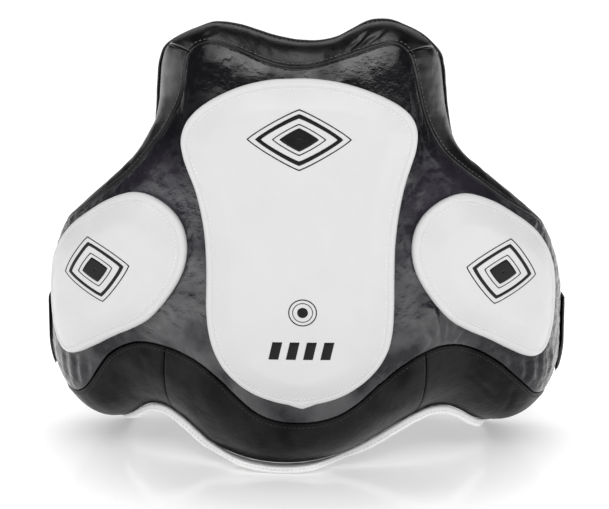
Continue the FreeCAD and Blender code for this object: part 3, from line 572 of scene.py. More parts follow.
def black_leather(name, dark, light, r0, r1, mottle, grain, coat=0.0, spec=0.5, patchy=0.0, panel_painted_light=False):
    m = Mat(name, Coat_Weight=coat, Coat_Roughness=0.12, Specular_IOR_Level=spec)
    big, mid = m.noise(22.0, 3.0, 0.6), m.noise(95.0, 5.0, 0.6)
    blend = m.math("MULTIPLY", big, mid)
    tone = m.span(blend, 0.0, 1.0, 0.12, 0.45)
    if panel_painted_light:                                        # painted light: the diffuse colour is painted darker along the top of the panel as painted shade, and lighter on the flanks as a painted purple-grey sheen
        sep = m.node("ShaderNodeSeparateXYZ")
        m.link(m.co, sep.inputs[0])
        side = m.math("ABSOLUTE", sep.outputs["X"])
        # painted sheen: a lighter diffuse colour on the flanks, towards the purplish light end of the ramp
        flank = m.math("MULTIPLY", m.span(side, 0.0, 1.0, 0.080, 0.115), m.span(sep.outputs["Z"], 0.0, 0.36, 0.17, 0.23))
        flank = m.math("MULTIPLY", flank, m.math("MULTIPLY", m.span(sep.outputs["Z"], 1.0, 0.0, 0.30, 0.345), m.span(side, 1.0, 0.0, 0.15, 0.19)))
        # painted shade: the diffuse colour darkens towards the top of the panel
        painted_sheen_and_shade = m.math("ADD", flank, m.span(sep.outputs["Z"], 0.20, 0.04, 0.27, 0.36))
        tone = m.math("MULTIPLY", m.math("ADD", m.math("MULTIPLY", tone, 0.55), 0.45), painted_sheen_and_shade)
    m.color(m.ramp(tone, [(0.0, dark), (1.0, light)]))
    m.rough(m.span(m.math("ADD", m.math("MULTIPLY", mid, 0.6), m.math("MULTIPLY", m.noise(30.0, 2.0), 0.4)), r0, r1, 0.3, 0.7))
    if patchy:                                       # the finish is worn thin in patches, so it shines unevenly
        worn = m.math("ADD", m.math("MULTIPLY", m.noise(13.0, 2.0, 0.45), 0.70), m.math("MULTIPLY", m.noise(42.0, 3.0, 0.5), 0.30))
        shine = m.span(worn, spec * (1.0 - patchy), spec * (1.0 + patchy), 0.42, 0.58)
        if panel_painted_light:                                    # and it is dull up on the horns
            horn = m.math("MULTIPLY", m.span(sep.outputs["Z"], 0.0, 0.85, 0.28, 0.35), m.span(side, 0.0, 1.0, 0.070, 0.105))
            shine = m.math("MULTIPLY", shine, m.math("SUBTRACT", 1.0, horn))
            shine = m.math("MULTIPLY", shine, m.span(side, 1.0, 0.38, 0.185, 0.235))
        m.link(shine, m.b.inputs["Specular IOR Level"])
    m.bump(m.noise(48.0, 5.0, 0.62), mottle, 0.0013 if panel_painted_light else 0.0010)
    m.bump(m.noise(210.0, 4.0, 0.60), mottle, 0.00050)
    m.bump(m.cells(620.0), grain, 0.00014)
    return m.done()


# the front panel leather carries painted sheen on its flanks and painted shade along its top
GLOSS = black_leather("gloss_black_leather", (0.0040, 0.0038, 0.0046), (0.0520, 0.0465, 0.0630), 0.11, 0.22, 0.95, 0.60, coat=0.13, spec=0.56, patchy=0.72, panel_painted_light=True)
SATIN = black_leather("satin_black_leather", (0.0018, 0.0018, 0.0020), (0.0055, 0.0055, 0.0060), 0.24, 0.36, 0.40, 0.45, coat=0.0, spec=0.46, patchy=0.35)
MATTE = black_leather("matte_black_leather", (0.0018, 0.0018, 0.0020), (0.0065, 0.0065, 0.0070), 0.30, 0.44, 0.60, 0.50, coat=0.0, spec=0.12, patchy=0.45)
STRAP = black_leather("strap_leather", (0.0070, 0.0070, 0.0075), (0.0150, 0.0150, 0.0160), 0.38, 0.52, 0.22, 0.6, spec=0.4)


def white_leather(name, base, r0, r1):
    m = Mat(name, Specular_IOR_Level=0.45, Coat_Weight=0.08, Coat_Roughness=0.3)
    n = m.noise(26.0, 4.0, 0.6)
    lo = tuple(c * 0.965 for c in base)
    m.color(m.ramp(n, [(0.3, lo), (0.7, base)]))
    m.rough(m.span(m.noise(60.0, 4.0), r0, r1, 0.3, 0.7))
    m.bump(m.noise(70.0, 3.0, 0.5), 0.10, 0.0006)
    m.bump(m.cells(560.0), 0.22, 0.00010)
    return m.done()


WHITE = white_leather("white_leather", (0.540, 0.540, 0.540), 0.34, 0.44)
TAPE = white_leather("white_binding", (0.93, 0.93, 0.92), 0.42, 0.52)


def woven(name, dark, light, scale, axes=("X", "Z"), rough=0.75, depth=0.0004):
    m = Mat(name, Sheen_Weight=0.25, Sheen_Roughness=0.5, Specular_IOR_Level=0.25)
    w = m.math("MULTIPLY", m.wave(scale, axes[0], 0.4), m.wave(scale * 0.62, axes[1], 0.4))
    fuzz = m.noise(900.0, 3.0)
    f = m.math("ADD", m.math("MULTIPLY", w, 0.75), m.math("MULTIPLY", fuzz, 0.35))
    m.color(m.ramp(f, [(0.15, dark), (0.85, light)]))
    m.rough(m.span(fuzz, rough - 0.08, rough + 0.08, 0.3, 0.7))
    m.bump(f, 0.7, depth)
    return m.done()


LINING = woven("lining_fabric", (0.012, 0.012, 0.014), (0.040, 0.040, 0.045), 150.0, ("X", "Z"), 0.62, 0.00025)
WEBBING = woven("black_webbing", (0.008, 0.008, 0.009), (0.030, 0.030, 0.032), 200.0, ("X", "Z"), 0.72, 0.0004)


def pile(name, dark, light, scale, depth, rough):
    m = Mat(name, Sheen_Weight=0.5, Sheen_Roughness=0.4, Specular_IOR_Level=0.2)
    dots = m.cells(scale, "F1")
    fuzz = m.noise(scale * 1.7, 4.0, 0.7)
    f = m.math("ADD", m.math("MULTIPLY", dots, 0.7), m.math("MULTIPLY", fuzz, 0.5))
    m.color(m.ramp(f, [(0.2, light), (0.8, dark)]))
    m.rough(m.span(fuzz, rough - 0.06, rough + 0.06, 0.3, 0.7))
    m.bump(f, 0.9, depth)
    return m.done()


HOOK = pile("hook_face", (0.006, 0.006, 0.007), (0.032, 0.032, 0.034), 620.0, 0.0007, 0.6)
LOOP = pile("loop_face", (0.008, 0.008, 0.009), (0.045, 0.045, 0.048), 380.0, 0.0009, 0.85)


def steel():
    m = Mat("ring_steel", Metallic=1.0)
    n = m.noise(140.0, 4.0, 0.6, (1.0, 1.0, 0.2))
    m.color(m.ramp(n, [(0.3, (0.52, 0.53, 0.55)), (0.7, (0.68, 0.69, 0.71))]))
    m.rough(m.span(n, 0.18, 0.34, 0.3, 0.7))
    m.bump(m.noise(500.0, 3.0), 0.08, 0.00008)
    return m.done()


def thread(name, lo, hi):
    m = Mat(name, Specular_IOR_Level=0.25, Sheen_Weight=0.1)
    w = m.noise(1500.0, 2.0)
    m.color(m.ramp(w, [(0.3, lo), (0.7, hi)]))
    m.rough(m.span(w, 0.42, 0.58, 0.3, 0.7))
    m.bump(w, 0.4, 0.0001)
    return m.done()


def foam_material():
    m = Mat("foam", Specular_IOR_Level=0.2)
    n = m.noise(400.0, 4.0, 0.7)
    m.color(m.ramp(n, [(0.3, (0.16, 0.18, 0.20)), (0.7, (0.27, 0.29, 0.33))]))
    m.rough(m.span(n, 0.8, 0.95, 0.3, 0.7))
    m.bump(m.cells(900.0, "F1"), 0.5, 0.0004)
    return m.done()


def print_ink():
    m = Mat("black_print", Specular_IOR_Level=0.22)
    n = m.noise(180.0, 4.0, 0.6)
    m.color(m.ramp(n, [(0.3, (0.003, 0.003, 0.003)), (0.7, (0.006, 0.006, 0.006))]))
    m.rough(m.span(n, 0.38, 0.5, 0.3, 0.7))
    m.bump(m.cells(560.0), 0.2, 0.0001)
    return m.done()


STEEL, FOAM, INK = steel(), foam_material(), print_ink()
THREAD_DARK = thread("black_thread", (0.012, 0.012, 0.013), (0.034, 0.034, 0.036))
# painted highlight: a lighter grey copy of the black thread, standing in for the sheen the top seams' stitches catch
THREAD_GREY = thread("grey_thread", (0.055, 0.055, 0.058), (0.13, 0.13, 0.135))
THREAD_WHITE = thread("white_thread", (0.62, 0.62, 0.61), (0.78, 0.78, 0.77))

# every carried-over node gets a finish, shown or not
FINISH = {"gloss_black_leather": GLOSS, "satin_black_leather": SATIN, "white_leather": WHITE, "lining": LINING, "foam": FOAM,
          "webbing": WEBBING, "hook_face": HOOK, "loop_face": LOOP, "strap_leather": STRAP, "ring_steel": STEEL}
for sub in frame["record"].get("subparts", []):
    ob = NODES.get(sub["node"])
    if ob is not None:
        ob.data.materials.clear()
        ob.data.materials.append(FINISH[sub["material_slot"]])

# ------------------------------------------------------------------ front panel
STEPS = np.array([0.0, 0.2, 0.55, 1.05, 1.7, 2.5, 3.6, 5.2])
NA, NB = ((400, 140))
NC = NA


def cluster(lo, hi, mm, count, ends=(True, True)):
    """Parameter values from lo to hi over a run of mm millimetres, close together at the ends."""
    e0 = lo + STEPS / mm * (hi - lo) if ends[0] else np.array([lo])
    e1 = hi - STEPS[::-1] / mm * (hi - lo) if ends[1] else np.array([hi])
    return np.concatenate([e0[:-1], np.linspace(e0[-1], e1[0], count), e1[1:]])


def edge_distance(a, b):
    """Rough distance on the panel to its seam, in millimetres."""
    d_low = b * sizes(a) * slant(a, False)
    d_top = (1 - b) * sizes(a) * slant(a, True)
    return np.minimum(np.minimum(d_low, d_top), np.minimum(a, 1 - a) * WIDTH), d_low, d_top


PANEL_CREASES = [
    # ((s, z) points on the unrolled panel, depth, width): where the leather draws in between the pads and the seam
    ([(84, 356), (92, 367), (102, 379)], 0.9, 1.7), ([(93, 351), (101, 361), (108, 369)], 0.7, 1.6),
    ([(88, 347), (96, 350), (106, 356)], 0.5, 1.6),
    ([(127, 196), (133, 176), (136, 150)], 1.5, 2.6), ([(138, 172), (143, 158), (141, 142)], 1.3, 2.2),
    ([(151, 164), (147, 152), (143, 140)], 1.1, 2.2), ([(119, 163), (127, 150), (127, 138)], 1.0, 2.4),
    ([(114, 178), (121, 160), (123, 146)], 0.7, 2.6), ([(160, 158), (155, 148), (150, 141)], 0.6, 2.0),
    ([(68, 127), (79, 116), (90, 114)], 0.9, 1.9), ([(66, 112), (77, 112), (85, 128)], 0.8, 1.9), ([(60, 103), (70, 105), (80, 104)], 0.6, 1.7),
    ([(-78, 122), (-70, 112), (-64, 98)], 0.9, 1.8), ([(-67, 116), (-61, 105), (-56, 95)], 0.8, 1.6),
    ([(-58, 108), (-53, 98), (-49, 90)], 0.6, 1.5),
    ([(-162, 161), (-149, 154), (-132, 149)], 0.9, 2.4), ([(-146, 169), (-139, 157), (-122, 151)], 0.8, 2.2),
    ([(-130, 182), (-122, 168), (-108, 160)], 0.6, 2.6),
    ([(-236, 120), (-238, 102), (-244, 80)], 0.9, 3.0), ([(-221, 118), (-226, 100), (-228, 84)], 0.7, 2.8),
    ([(-252, 122), (-256, 100), (-262, 78)], 0.7, 3.2),
    ([(244, 122), (250, 104), (255, 84)], 1.0, 3.0), ([(264, 125), (270, 104), (275, 82)], 0.9, 3.2),
    ([(226, 122), (236, 102), (238, 84)], 0.8, 2.8), ([(208, 128), (216, 112), (217, 98)], 0.6, 2.6),
    ([(-112, 330), (-121, 318), (-133, 310)], 0.5, 3.0), ([(112, 336), (120, 322), (129, 315)], 0.6, 3.0),
    ([(-99, 268), (-104, 250), (-103, 232)], 0.4, 3.0), ([(96, 262), (99, 246), (97, 228)], 0.4, 2.6),
]


def wrinkles(x, y, seed):
    """Soft crests and sharp valleys, 0 on the crests and 1 along the valley lines."""
    return (1 - np.abs(noise(x, y, seed, 2))) ** 6


def panel_relief(s, z, d, d_low, d_top):
    r = 0.36 * noise(s / 15 + 3, z / 15, 11, 2) + 0.12 * noise(s / 5, z / 5, 12, 2)
    near = np.exp(-np.minimum(d_top, d_low) / 16.0)
    r = r + near * 0.34 * noise(s / 4.5, z / 11, 13, 2)
    patch = smooth((noise(s / 55, z / 55, 16) + 0.25) / 0.6)
    warp = 5 * noise(s / 30, z / 30, 17)
    r = r - patch * 0.62 * wrinkles((s + warp) / 13, (z - warp) / 13, 14) - 0.22 * wrinkles((s - warp) / 5.5, (z + warp) / 5.5, 15)
    loose = smooth((352 - z) / 70)                    # the leather is drawn tight at the top and looser below
    r = r + loose * (0.34 * noise(s / 6.2 + 1, z / 6.2, 18, 3) + 0.45 * noise(s / 13, z / 10, 19, 3))
    for pts, depth, width in PANEL_CREASES:
        r = r + crease(s, z, pts, depth * 1.4, width)
    return r * smooth(d / 5.0)


a = cluster(0, 1, WIDTH, NA)
A = np.repeat(a[:, None], 2 * len(STEPS) - 2 + NB, 1)
low = STEPS[None, :] / (sizes(a) * slant(a, False))[:, None]
top = 1 - STEPS[::-1][None, :] / (sizes(a) * slant(a, True))[:, None]
mid = low[:, -1:] + (top[:, :1] - low[:, -1:]) * np.linspace(0, 1, NB)[None, :]
B = np.concatenate([low[:, :-1], mid, top[:, 1:]], 1)
S, Z = flat_out(A, B)
P = front(A, B)
nrm = unit(np.cross(np.gradient(P, axis=0), np.gradient(P, axis=1)))
nrm = np.where((nrm * skin_normal(S, Z)).sum(-1, keepdims=True) < 0, -nrm, nrm)
D, D_LOW, D_TOP = edge_distance(A, B)
relief = panel_relief(S, Z, D, D_LOW, D_TOP) - dip(D, 2.9) * 1.25
P = P + nrm * relief[..., None]
v, f = shell_mesh(P, 1.8)
front_panel = make("front_casing", to_frame(v), f, GLOSS, "pad",
                   ("front_panel", "firm_foam_sheet", "foam_core", "soft_foam_sheet"))


# ------------------------------------------------------------------ side walls
TOP_LEN, BOT_LEN = arc(TOP_OUT)[-1], arc(BOT_OUT)[-1]
GUSSET_CREASES = {}


def wall_surface(av, cv, edge):
    a, c = np.meshgrid(av, cv, indexing="ij")
    b = np.full_like(a, edge)
    return a, c, point(a, b, c)


def gusset(name, a0, a1, edge, node, seed, wrinkle=0.45, folds=(), material=None):
    length = (TOP_LEN if edge else BOT_LEN) * (a1 - a0)
    av = cluster(a0, a1, length, max(int(length / (2.2)), 24))
    cv = cluster(0, 1, 55.0, 26)
    a, c, p = wall_surface(av, cv, edge)
    n = unit(np.cross(np.gradient(p, axis=0), np.gradient(p, axis=1)))
    ref = base_out(a, np.full_like(a, edge)) - base_out(a, np.full_like(a, 0.5))
    if (n * ref).sum() < 0:
        n = -n
    width = np.linalg.norm(np.diff(p, axis=1), axis=-1).sum(1)[:, None]
    u = np.concatenate([[0], np.cumsum(np.linalg.norm(np.diff(p[:, p.shape[1] // 2], axis=0), axis=-1))])[:, None]
    w = c * width
    d = np.minimum(np.minimum(w, width - w), np.minimum(u, u[-1] - u))
    r = wrinkle * (0.6 * noise(u / 11 + seed, w / 34, seed, 2) + 0.28 * noise(u / 26, w / 60, seed + 1) + 0.16 * noise(u / 4.2, w / 12, seed + 2, 2))
    gather = np.exp(-np.minimum(w, width - w) / 12.0)
    r = r - wrinkle * gather * 0.7 * wrinkles(u / 6.5 + 0.05 * w, w / 26, seed + 3) - wrinkle * 0.4 * wrinkles(u / 17 + 0.03 * w, w / 40, seed + 4)
    for pts, depth, wide in folds:
        r = r + crease(u + 0 * w, w + 0 * u, pts, depth, wide)
    r = r * smooth(d / 6.0) - dip(d, 2.6) * 0.95
    p = p + n * r[..., None]
    if (np.cross(np.gradient(p, axis=0), np.gradient(p, axis=1)) * ref).sum() < 0:
        p = p[::-1]
    v, f = shell_mesh(p, 1.8)
    return make(name, to_frame(v), f, material or SATIN, "pad", (node,))


gusset("top_wall", HORN_L, HORN_R, 1.0, "top_gusset", 21, folds=[([(178, 4), (196, 16), (205, 34)], 0.9, 3.0), ([(196, 3), (214, 14), (222, 30)], 0.7, 3.0),
                                                                 ([(30, 6), (44, 18), (50, 36)], 0.5, 3.0)])
gusset("left_side_wall", 0.0, HORN_L, 1.0, "left_side_gusset", 31, wrinkle=0.55)
gusset("right_side_wall", HORN_R, 1.0, 1.0, "right_side_gusset", 41, wrinkle=0.55)
gusset("left_bottom_wall", 0.0, ARCH_L, 0.0, "left_bottom_gusset", 51, material=MATTE, folds=[([(215, 6), (232, 22), (240, 44)], 0.9, 4.0), ([(190, 5), (200, 20), (204, 40)], 0.6, 4.0)])
gusset("center_bottom_wall", ARCH_L, ARCH_R, 0.0, "center_bottom_gusset", 61, wrinkle=0.4, material=MATTE)
gusset("right_bottom_wall", ARCH_R, 1.0, 0.0, "right_bottom_gusset", 71, material=MATTE, folds=[([(30, 8), (52, 20), (78, 24)], 1.0, 4.0), ([(40, 26), (62, 36), (88, 40)], 0.8, 4.0),
                                                                                ([(96, 6), (104, 24), (108, 46)], 0.6, 4.0)])

for word, edge, node in (("left", 0.0, "left_end_gusset"), ("right", 1.0, "right_end_gusset")):
    bv = cluster(0, 1, 125.0, 44)
    cv = cluster(0, 1, 58.0, 22)
    b, c = np.meshgrid(bv, cv, indexing="ij")
    p = point(np.full_like(b, edge), b, c)
    n = unit(np.cross(np.gradient(p, axis=0), np.gradient(p, axis=1)))
    ref = np.zeros_like(p) + np.array((0.0, 1.0, 0.0))
    if (n * ref).sum() < 0:
        n = -n
    u, w = b * 125.0, c * 58.0
    d = np.minimum(np.minimum(w, 58 - w), np.minimum(u, 125 - u))
    r = 0.4 * noise(u / 12, w / 20, 81, 2) * smooth(d / 6) - dip(d, 2.6) * 0.95
    p = p + n * r[..., None]
    if (np.cross(np.gradient(p, axis=0), np.gradient(p, axis=1)) * ref).sum() < 0:
        p = p[::-1]
    v, f = shell_mesh(p, 1.8)
    make(word + "_end_wall", to_frame(v), f, SATIN, "pad", (node,))

# ------------------------------------------------------------------ torso side
av = cluster(0, 1, 565.0, 180)
bv = cluster(0, 1, 330.0, 84)
a, b = np.meshgrid(av, bv, indexing="ij")
p = point(a, b, np.ones_like(a))
n = unit(np.cross(np.gradient(p, axis=0), np.gradient(p, axis=1)))
ref = np.zeros_like(p) + np.array((0.0, 1.0, 0.0))
n = -n if (n * ref).sum() < 0 else n
sz_in = np.linalg.norm(T_IN(a) - B_IN(a), axis=-1)
d = np.minimum(np.minimum(a, 1 - a) * 565.0, np.minimum(b, 1 - b) * sz_in)
r = 0.55 * noise(a * 565 / 30, b * sz_in / 30, 91, 2) * smooth(d / 20) - dip(d, 2.6) * 0.95
quilt = np.exp(-((d - 24.0) / 2.2) ** 2) * 1.1
p = p + n * (r - quilt)[..., None]
if (np.cross(np.gradient(p, axis=0), np.gradient(p, axis=1)) * ref).sum() < 0:
    p = p[::-1]
v, f = shell_mesh(p, 1.8)
make("torso_lining", to_frame(v), f, LINING, "pad", ("rear_lining",))


# ------------------------------------------------------------------ edge bindings
def edge_frames(a, top):
    b, db = (1.0, -0.02) if top else (0.0, 0.02)
    bb = np.full_like(a, b)
    p = base_in(a, bb)
    q = p - base_in(a, bb + db)
    out = unit(q)
    e = 0.002
    t = unit(base_in(np.minimum(a + e, 1), bb) - base_in(np.maximum(a - e, 0), bb))
    n = unit(np.cross(t, out))
    d = base_out(a, bb) - p
    n = np.where((n * d).sum(-1, keepdims=True) > 0, -n, n)
    out = unit(np.cross(n, t))
    out = np.where((out * q).sum(-1, keepdims=True) < 0, -out, out)
    return p, out, n, t


def binding(name, node, a0, a1, top, u0, u1, w0, w1, count, material, stitch):
    a = np.linspace(a0, a1, count)
    i = np.arange(count)
    p, out, rear, t = edge_frames(a, top)
    taper = 0.15 + 0.85 * smooth(np.minimum(i, count - 1 - i) / (count - 1) / 0.12)
    if not top:                                      # fuller where it hangs free in the arches
        u1 = u1 + 2.8 * smooth((p[:, 2] - 14.0) / 14.0)
    uu1 = u0 + (u1 - u0) * taper
    prof = rounded(0.5, 0.5, 0.34, 4)
    ripple = 1 + 0.05 * noise(a * 140, a * 0, 5)[:, None]
    foot = np.zeros(count) if top else smooth((0.075 - np.abs(a - 0.492)) / 0.045)     # the middle is wider and lies flat
    ww0 = (w0 - 16.0 * foot)[:, None]
    u = u0 + (uu1 - u0)[:, None] * (prof[None, :, 0] * ripple + 0.5)
    w = ww0 + (w1 - ww0) * (prof[None, :, 1] * ripple + 0.5)
    v = p[:, None, :] + out[:, None, :] * u[..., None] + rear[:, None, :] * w[..., None]
    v[..., 2] = np.maximum(v[..., 2], 0.0)
    low_side = smooth((u - (u0 + (uu1 - u0)[:, None] * 0.5)) / ((uu1 - u0)[:, None] * 0.3))
    v[..., 2] -= foot[:, None] * low_side * np.minimum(v[..., 2], 2.6)
    M = len(prof)
    flat = v.reshape(-1, 3)
    faces = [[k * M + j, k * M + (j + 1) % M, (k + 1) * M + (j + 1) % M, (k + 1) * M + j] for k in range(count - 1) for j in range(M)]
    c = np.concatenate([flat, [v[0].mean(0), v[-1].mean(0)]])
    for j in range(M):
        faces.append([count * M, (j + 1) % M, j])
        faces.append([count * M + 1, (count - 1) * M + j, (count - 1) * M + (j + 1) % M])
    make(name, to_frame(c), fix_winding(c, faces), material, "pad", (node,))
    if stitch:
        k = slice(int(count * 0.1), int(count * 0.9))
        path = p[k] + out[k] * (u0 + (uu1[k] - u0) * 0.62)[:, None] + rear[k] * ww0[k]
        v, f = stitch_mesh(path, -rear[k], 2.6, 1.5, 0.30)
        make(name + "_stitches", to_frame(v), f, stitch, "pad")


binding("lower_binding", "lower_edge_binding", 0.11, 0.89, False, 0.4, 6.0, -5.0, 1.6, 420, TAPE, THREAD_WHITE)
binding("upper_binding", "upper_edge_binding", 0.04, 0.96, True, 0.6, 3.2, -4.0, 1.6, 460, STRAP, None)


# ------------------------------------------------------------------ seam stitches beside the front seam
def seam_stitches(name, a0, a1, edge, mm, rear=False, lift=0.0, material=None):
    a = np.linspace(a0, a1, 900)
    b = np.full_like(a, edge)
    th = np.linalg.norm(base_in(a, b) - front(a, b), axis=-1)
    c = 1 - mm / th if rear else mm / th
    p = point(a, b, c)
    q = point(a, b, c + 0.02)
    t = np.gradient(p, axis=0)
    n = unit(np.cross(t, q - p))
    ref = base_out(a, b) - base_out(a, np.full_like(a, 0.5))
    n = np.where((n * ref).sum(-1, keepdims=True) < 0, -n, n)
    v, f = stitch_mesh(p + n * lift, n, 3.0, 1.6, 0.36)
    return make(name, to_frame(v), f, material or THREAD_GREY, "pad")


# the top seams take the grey thread as a painted highlight; the bottom seam keeps the black thread
seam_stitches("top_front_stitches", 0.004, 0.996, 1.0, 4.2)
seam_stitches("bottom_front_stitches", 0.004, 0.996, 0.0, 4.2, material=THREAD_DARK)
seam_stitches("top_rear_stitches", 0.004, 0.996, 1.0, 5.0, rear=True)

# ------------------------------------------------------------------ raised target pads
CENTER_PAD = [(-10.2, 405.2), (5.3, 405.5), (20.6, 404.5), (35.7, 402.3), (50.6, 398.5), (65.1, 393.2), (79.3, 386.5),
              (92.8, 377.8), (102.5, 367.0), (106.6, 353.4), (105.5, 337.7), (101.1, 322.6), (96.4, 307.7),
              (92.8, 292.5), (90.0, 277.0), (88.1, 261.4), (86.8, 245.5), (86.5, 229.5), (86.4, 213.0),
              (86.5, 196.4), (86.3, 179.8), (85.2, 163.2), (82.0, 147.0), (75.6, 132.0), (66.0, 119.0),
              (54.0, 108.3), (40.6, 99.9), (25.8, 94.2), (10.4, 90.8), (-5.3, 90.2), (-20.2, 92.4), (-35.5, 97.0),
              (-49.9, 104.0), (-62.6, 113.7), (-72.9, 125.7), (-80.2, 140.2), (-84.7, 156.1), (-87.0, 172.5),
              (-87.7, 189.1), (-87.3, 205.8), (-87.1, 222.4), (-87.4, 238.7), (-88.4, 254.6), (-90.4, 270.3),
              (-93.6, 285.6), (-97.8, 300.7), (-103.5, 315.2), (-108.4, 329.9), (-110.4, 345.5), (-106.0, 361.0),
              (-96.5, 373.6), (-83.9, 383.8), (-70.0, 391.8), (-55.8, 398.0), (-40.8, 402.2), (-25.7, 404.6)]
RIGHT_PAD = [(146.3, 293.2), (157.0, 292.8), (167.7, 289.7), (178.4, 285.3), (189.0, 279.9), (199.5, 273.4),
             (210.2, 266.2), (221.7, 258.2), (233.4, 248.8), (244.1, 238.0), (253.5, 225.0), (260.5, 210.0),
             (265.0, 193.0), (266.5, 176.0), (265.5, 159.0), (262.0, 143.0), (254.5, 129.5), (244.0, 122.0),
             (232.0, 120.8), (219.5, 125.0), (207.8, 131.5), (195.9, 138.5), (185.7, 144.8), (174.6, 151.0),
             (163.8, 156.5), (153.7, 162.3), (144.2, 168.7), (136.0, 176.5), (128.7, 185.1), (122.1, 194.1),
             (116.1, 203.4), (110.8, 213.1), (106.7, 223.2), (104.1, 233.7), (103.2, 244.1), (104.2, 254.4),
             (107.1, 264.2), (112.2, 272.9), (119.0, 280.3), (127.1, 286.2), (136.3, 290.7)]
LEFT_PAD = [(-q[0] - 3.0, q[1] - 1.0) for q in reversed(RIGHT_PAD)]
PAD_RISE = 15.0


def closed_spline(pts, count):
    """Evenly spaced points on a closed Catmull-Rom curve."""
    p = np.asarray(pts, float)
    out = []
    for i in range(len(p)):
        p0, p1, p2, p3 = p[i - 1], p[i], p[(i + 1) % len(p)], p[(i + 2) % len(p)]
        for k in range(8):
            t = k / 8
            out.append(0.5 * (2 * p1 + (p2 - p0) * t + (2 * p0 - 5 * p1 + 4 * p2 - p3) * t * t + (3 * p1 - p0 - 3 * p2 + p3) * t ** 3))
    q = np.array(out + [out[0]])
    s = np.concatenate([[0], np.cumsum(np.hypot(*np.diff(q, axis=0).T))])
    u = np.linspace(0, s[-1], count, endpoint=False)
    return np.stack([np.interp(u, s, q[:, 0]), np.interp(u, s, q[:, 1])], 1)


def signed_area(p):
    x, y = p[:, 0], p[:, 1]
    return 0.5 * np.sum(x * np.roll(y, -1) - np.roll(x, -1) * y)


def inset(p, d):
    """Move a counter-clockwise closed curve inward by d, in small eased steps."""
    steps = max(int(abs(d) / 0.8), 1)
    for _ in range(steps):
        t = np.roll(p, -1, 0) - np.roll(p, 1, 0)
        t /= np.maximum(np.hypot(*t.T), 1e-9)[:, None]
        p = p + np.stack([-t[:, 1], t[:, 0]], 1) * (d / steps)
        p = p * 0.9 + (np.roll(p, 1, 0) + np.roll(p, -1, 0)) * 0.05
    return p


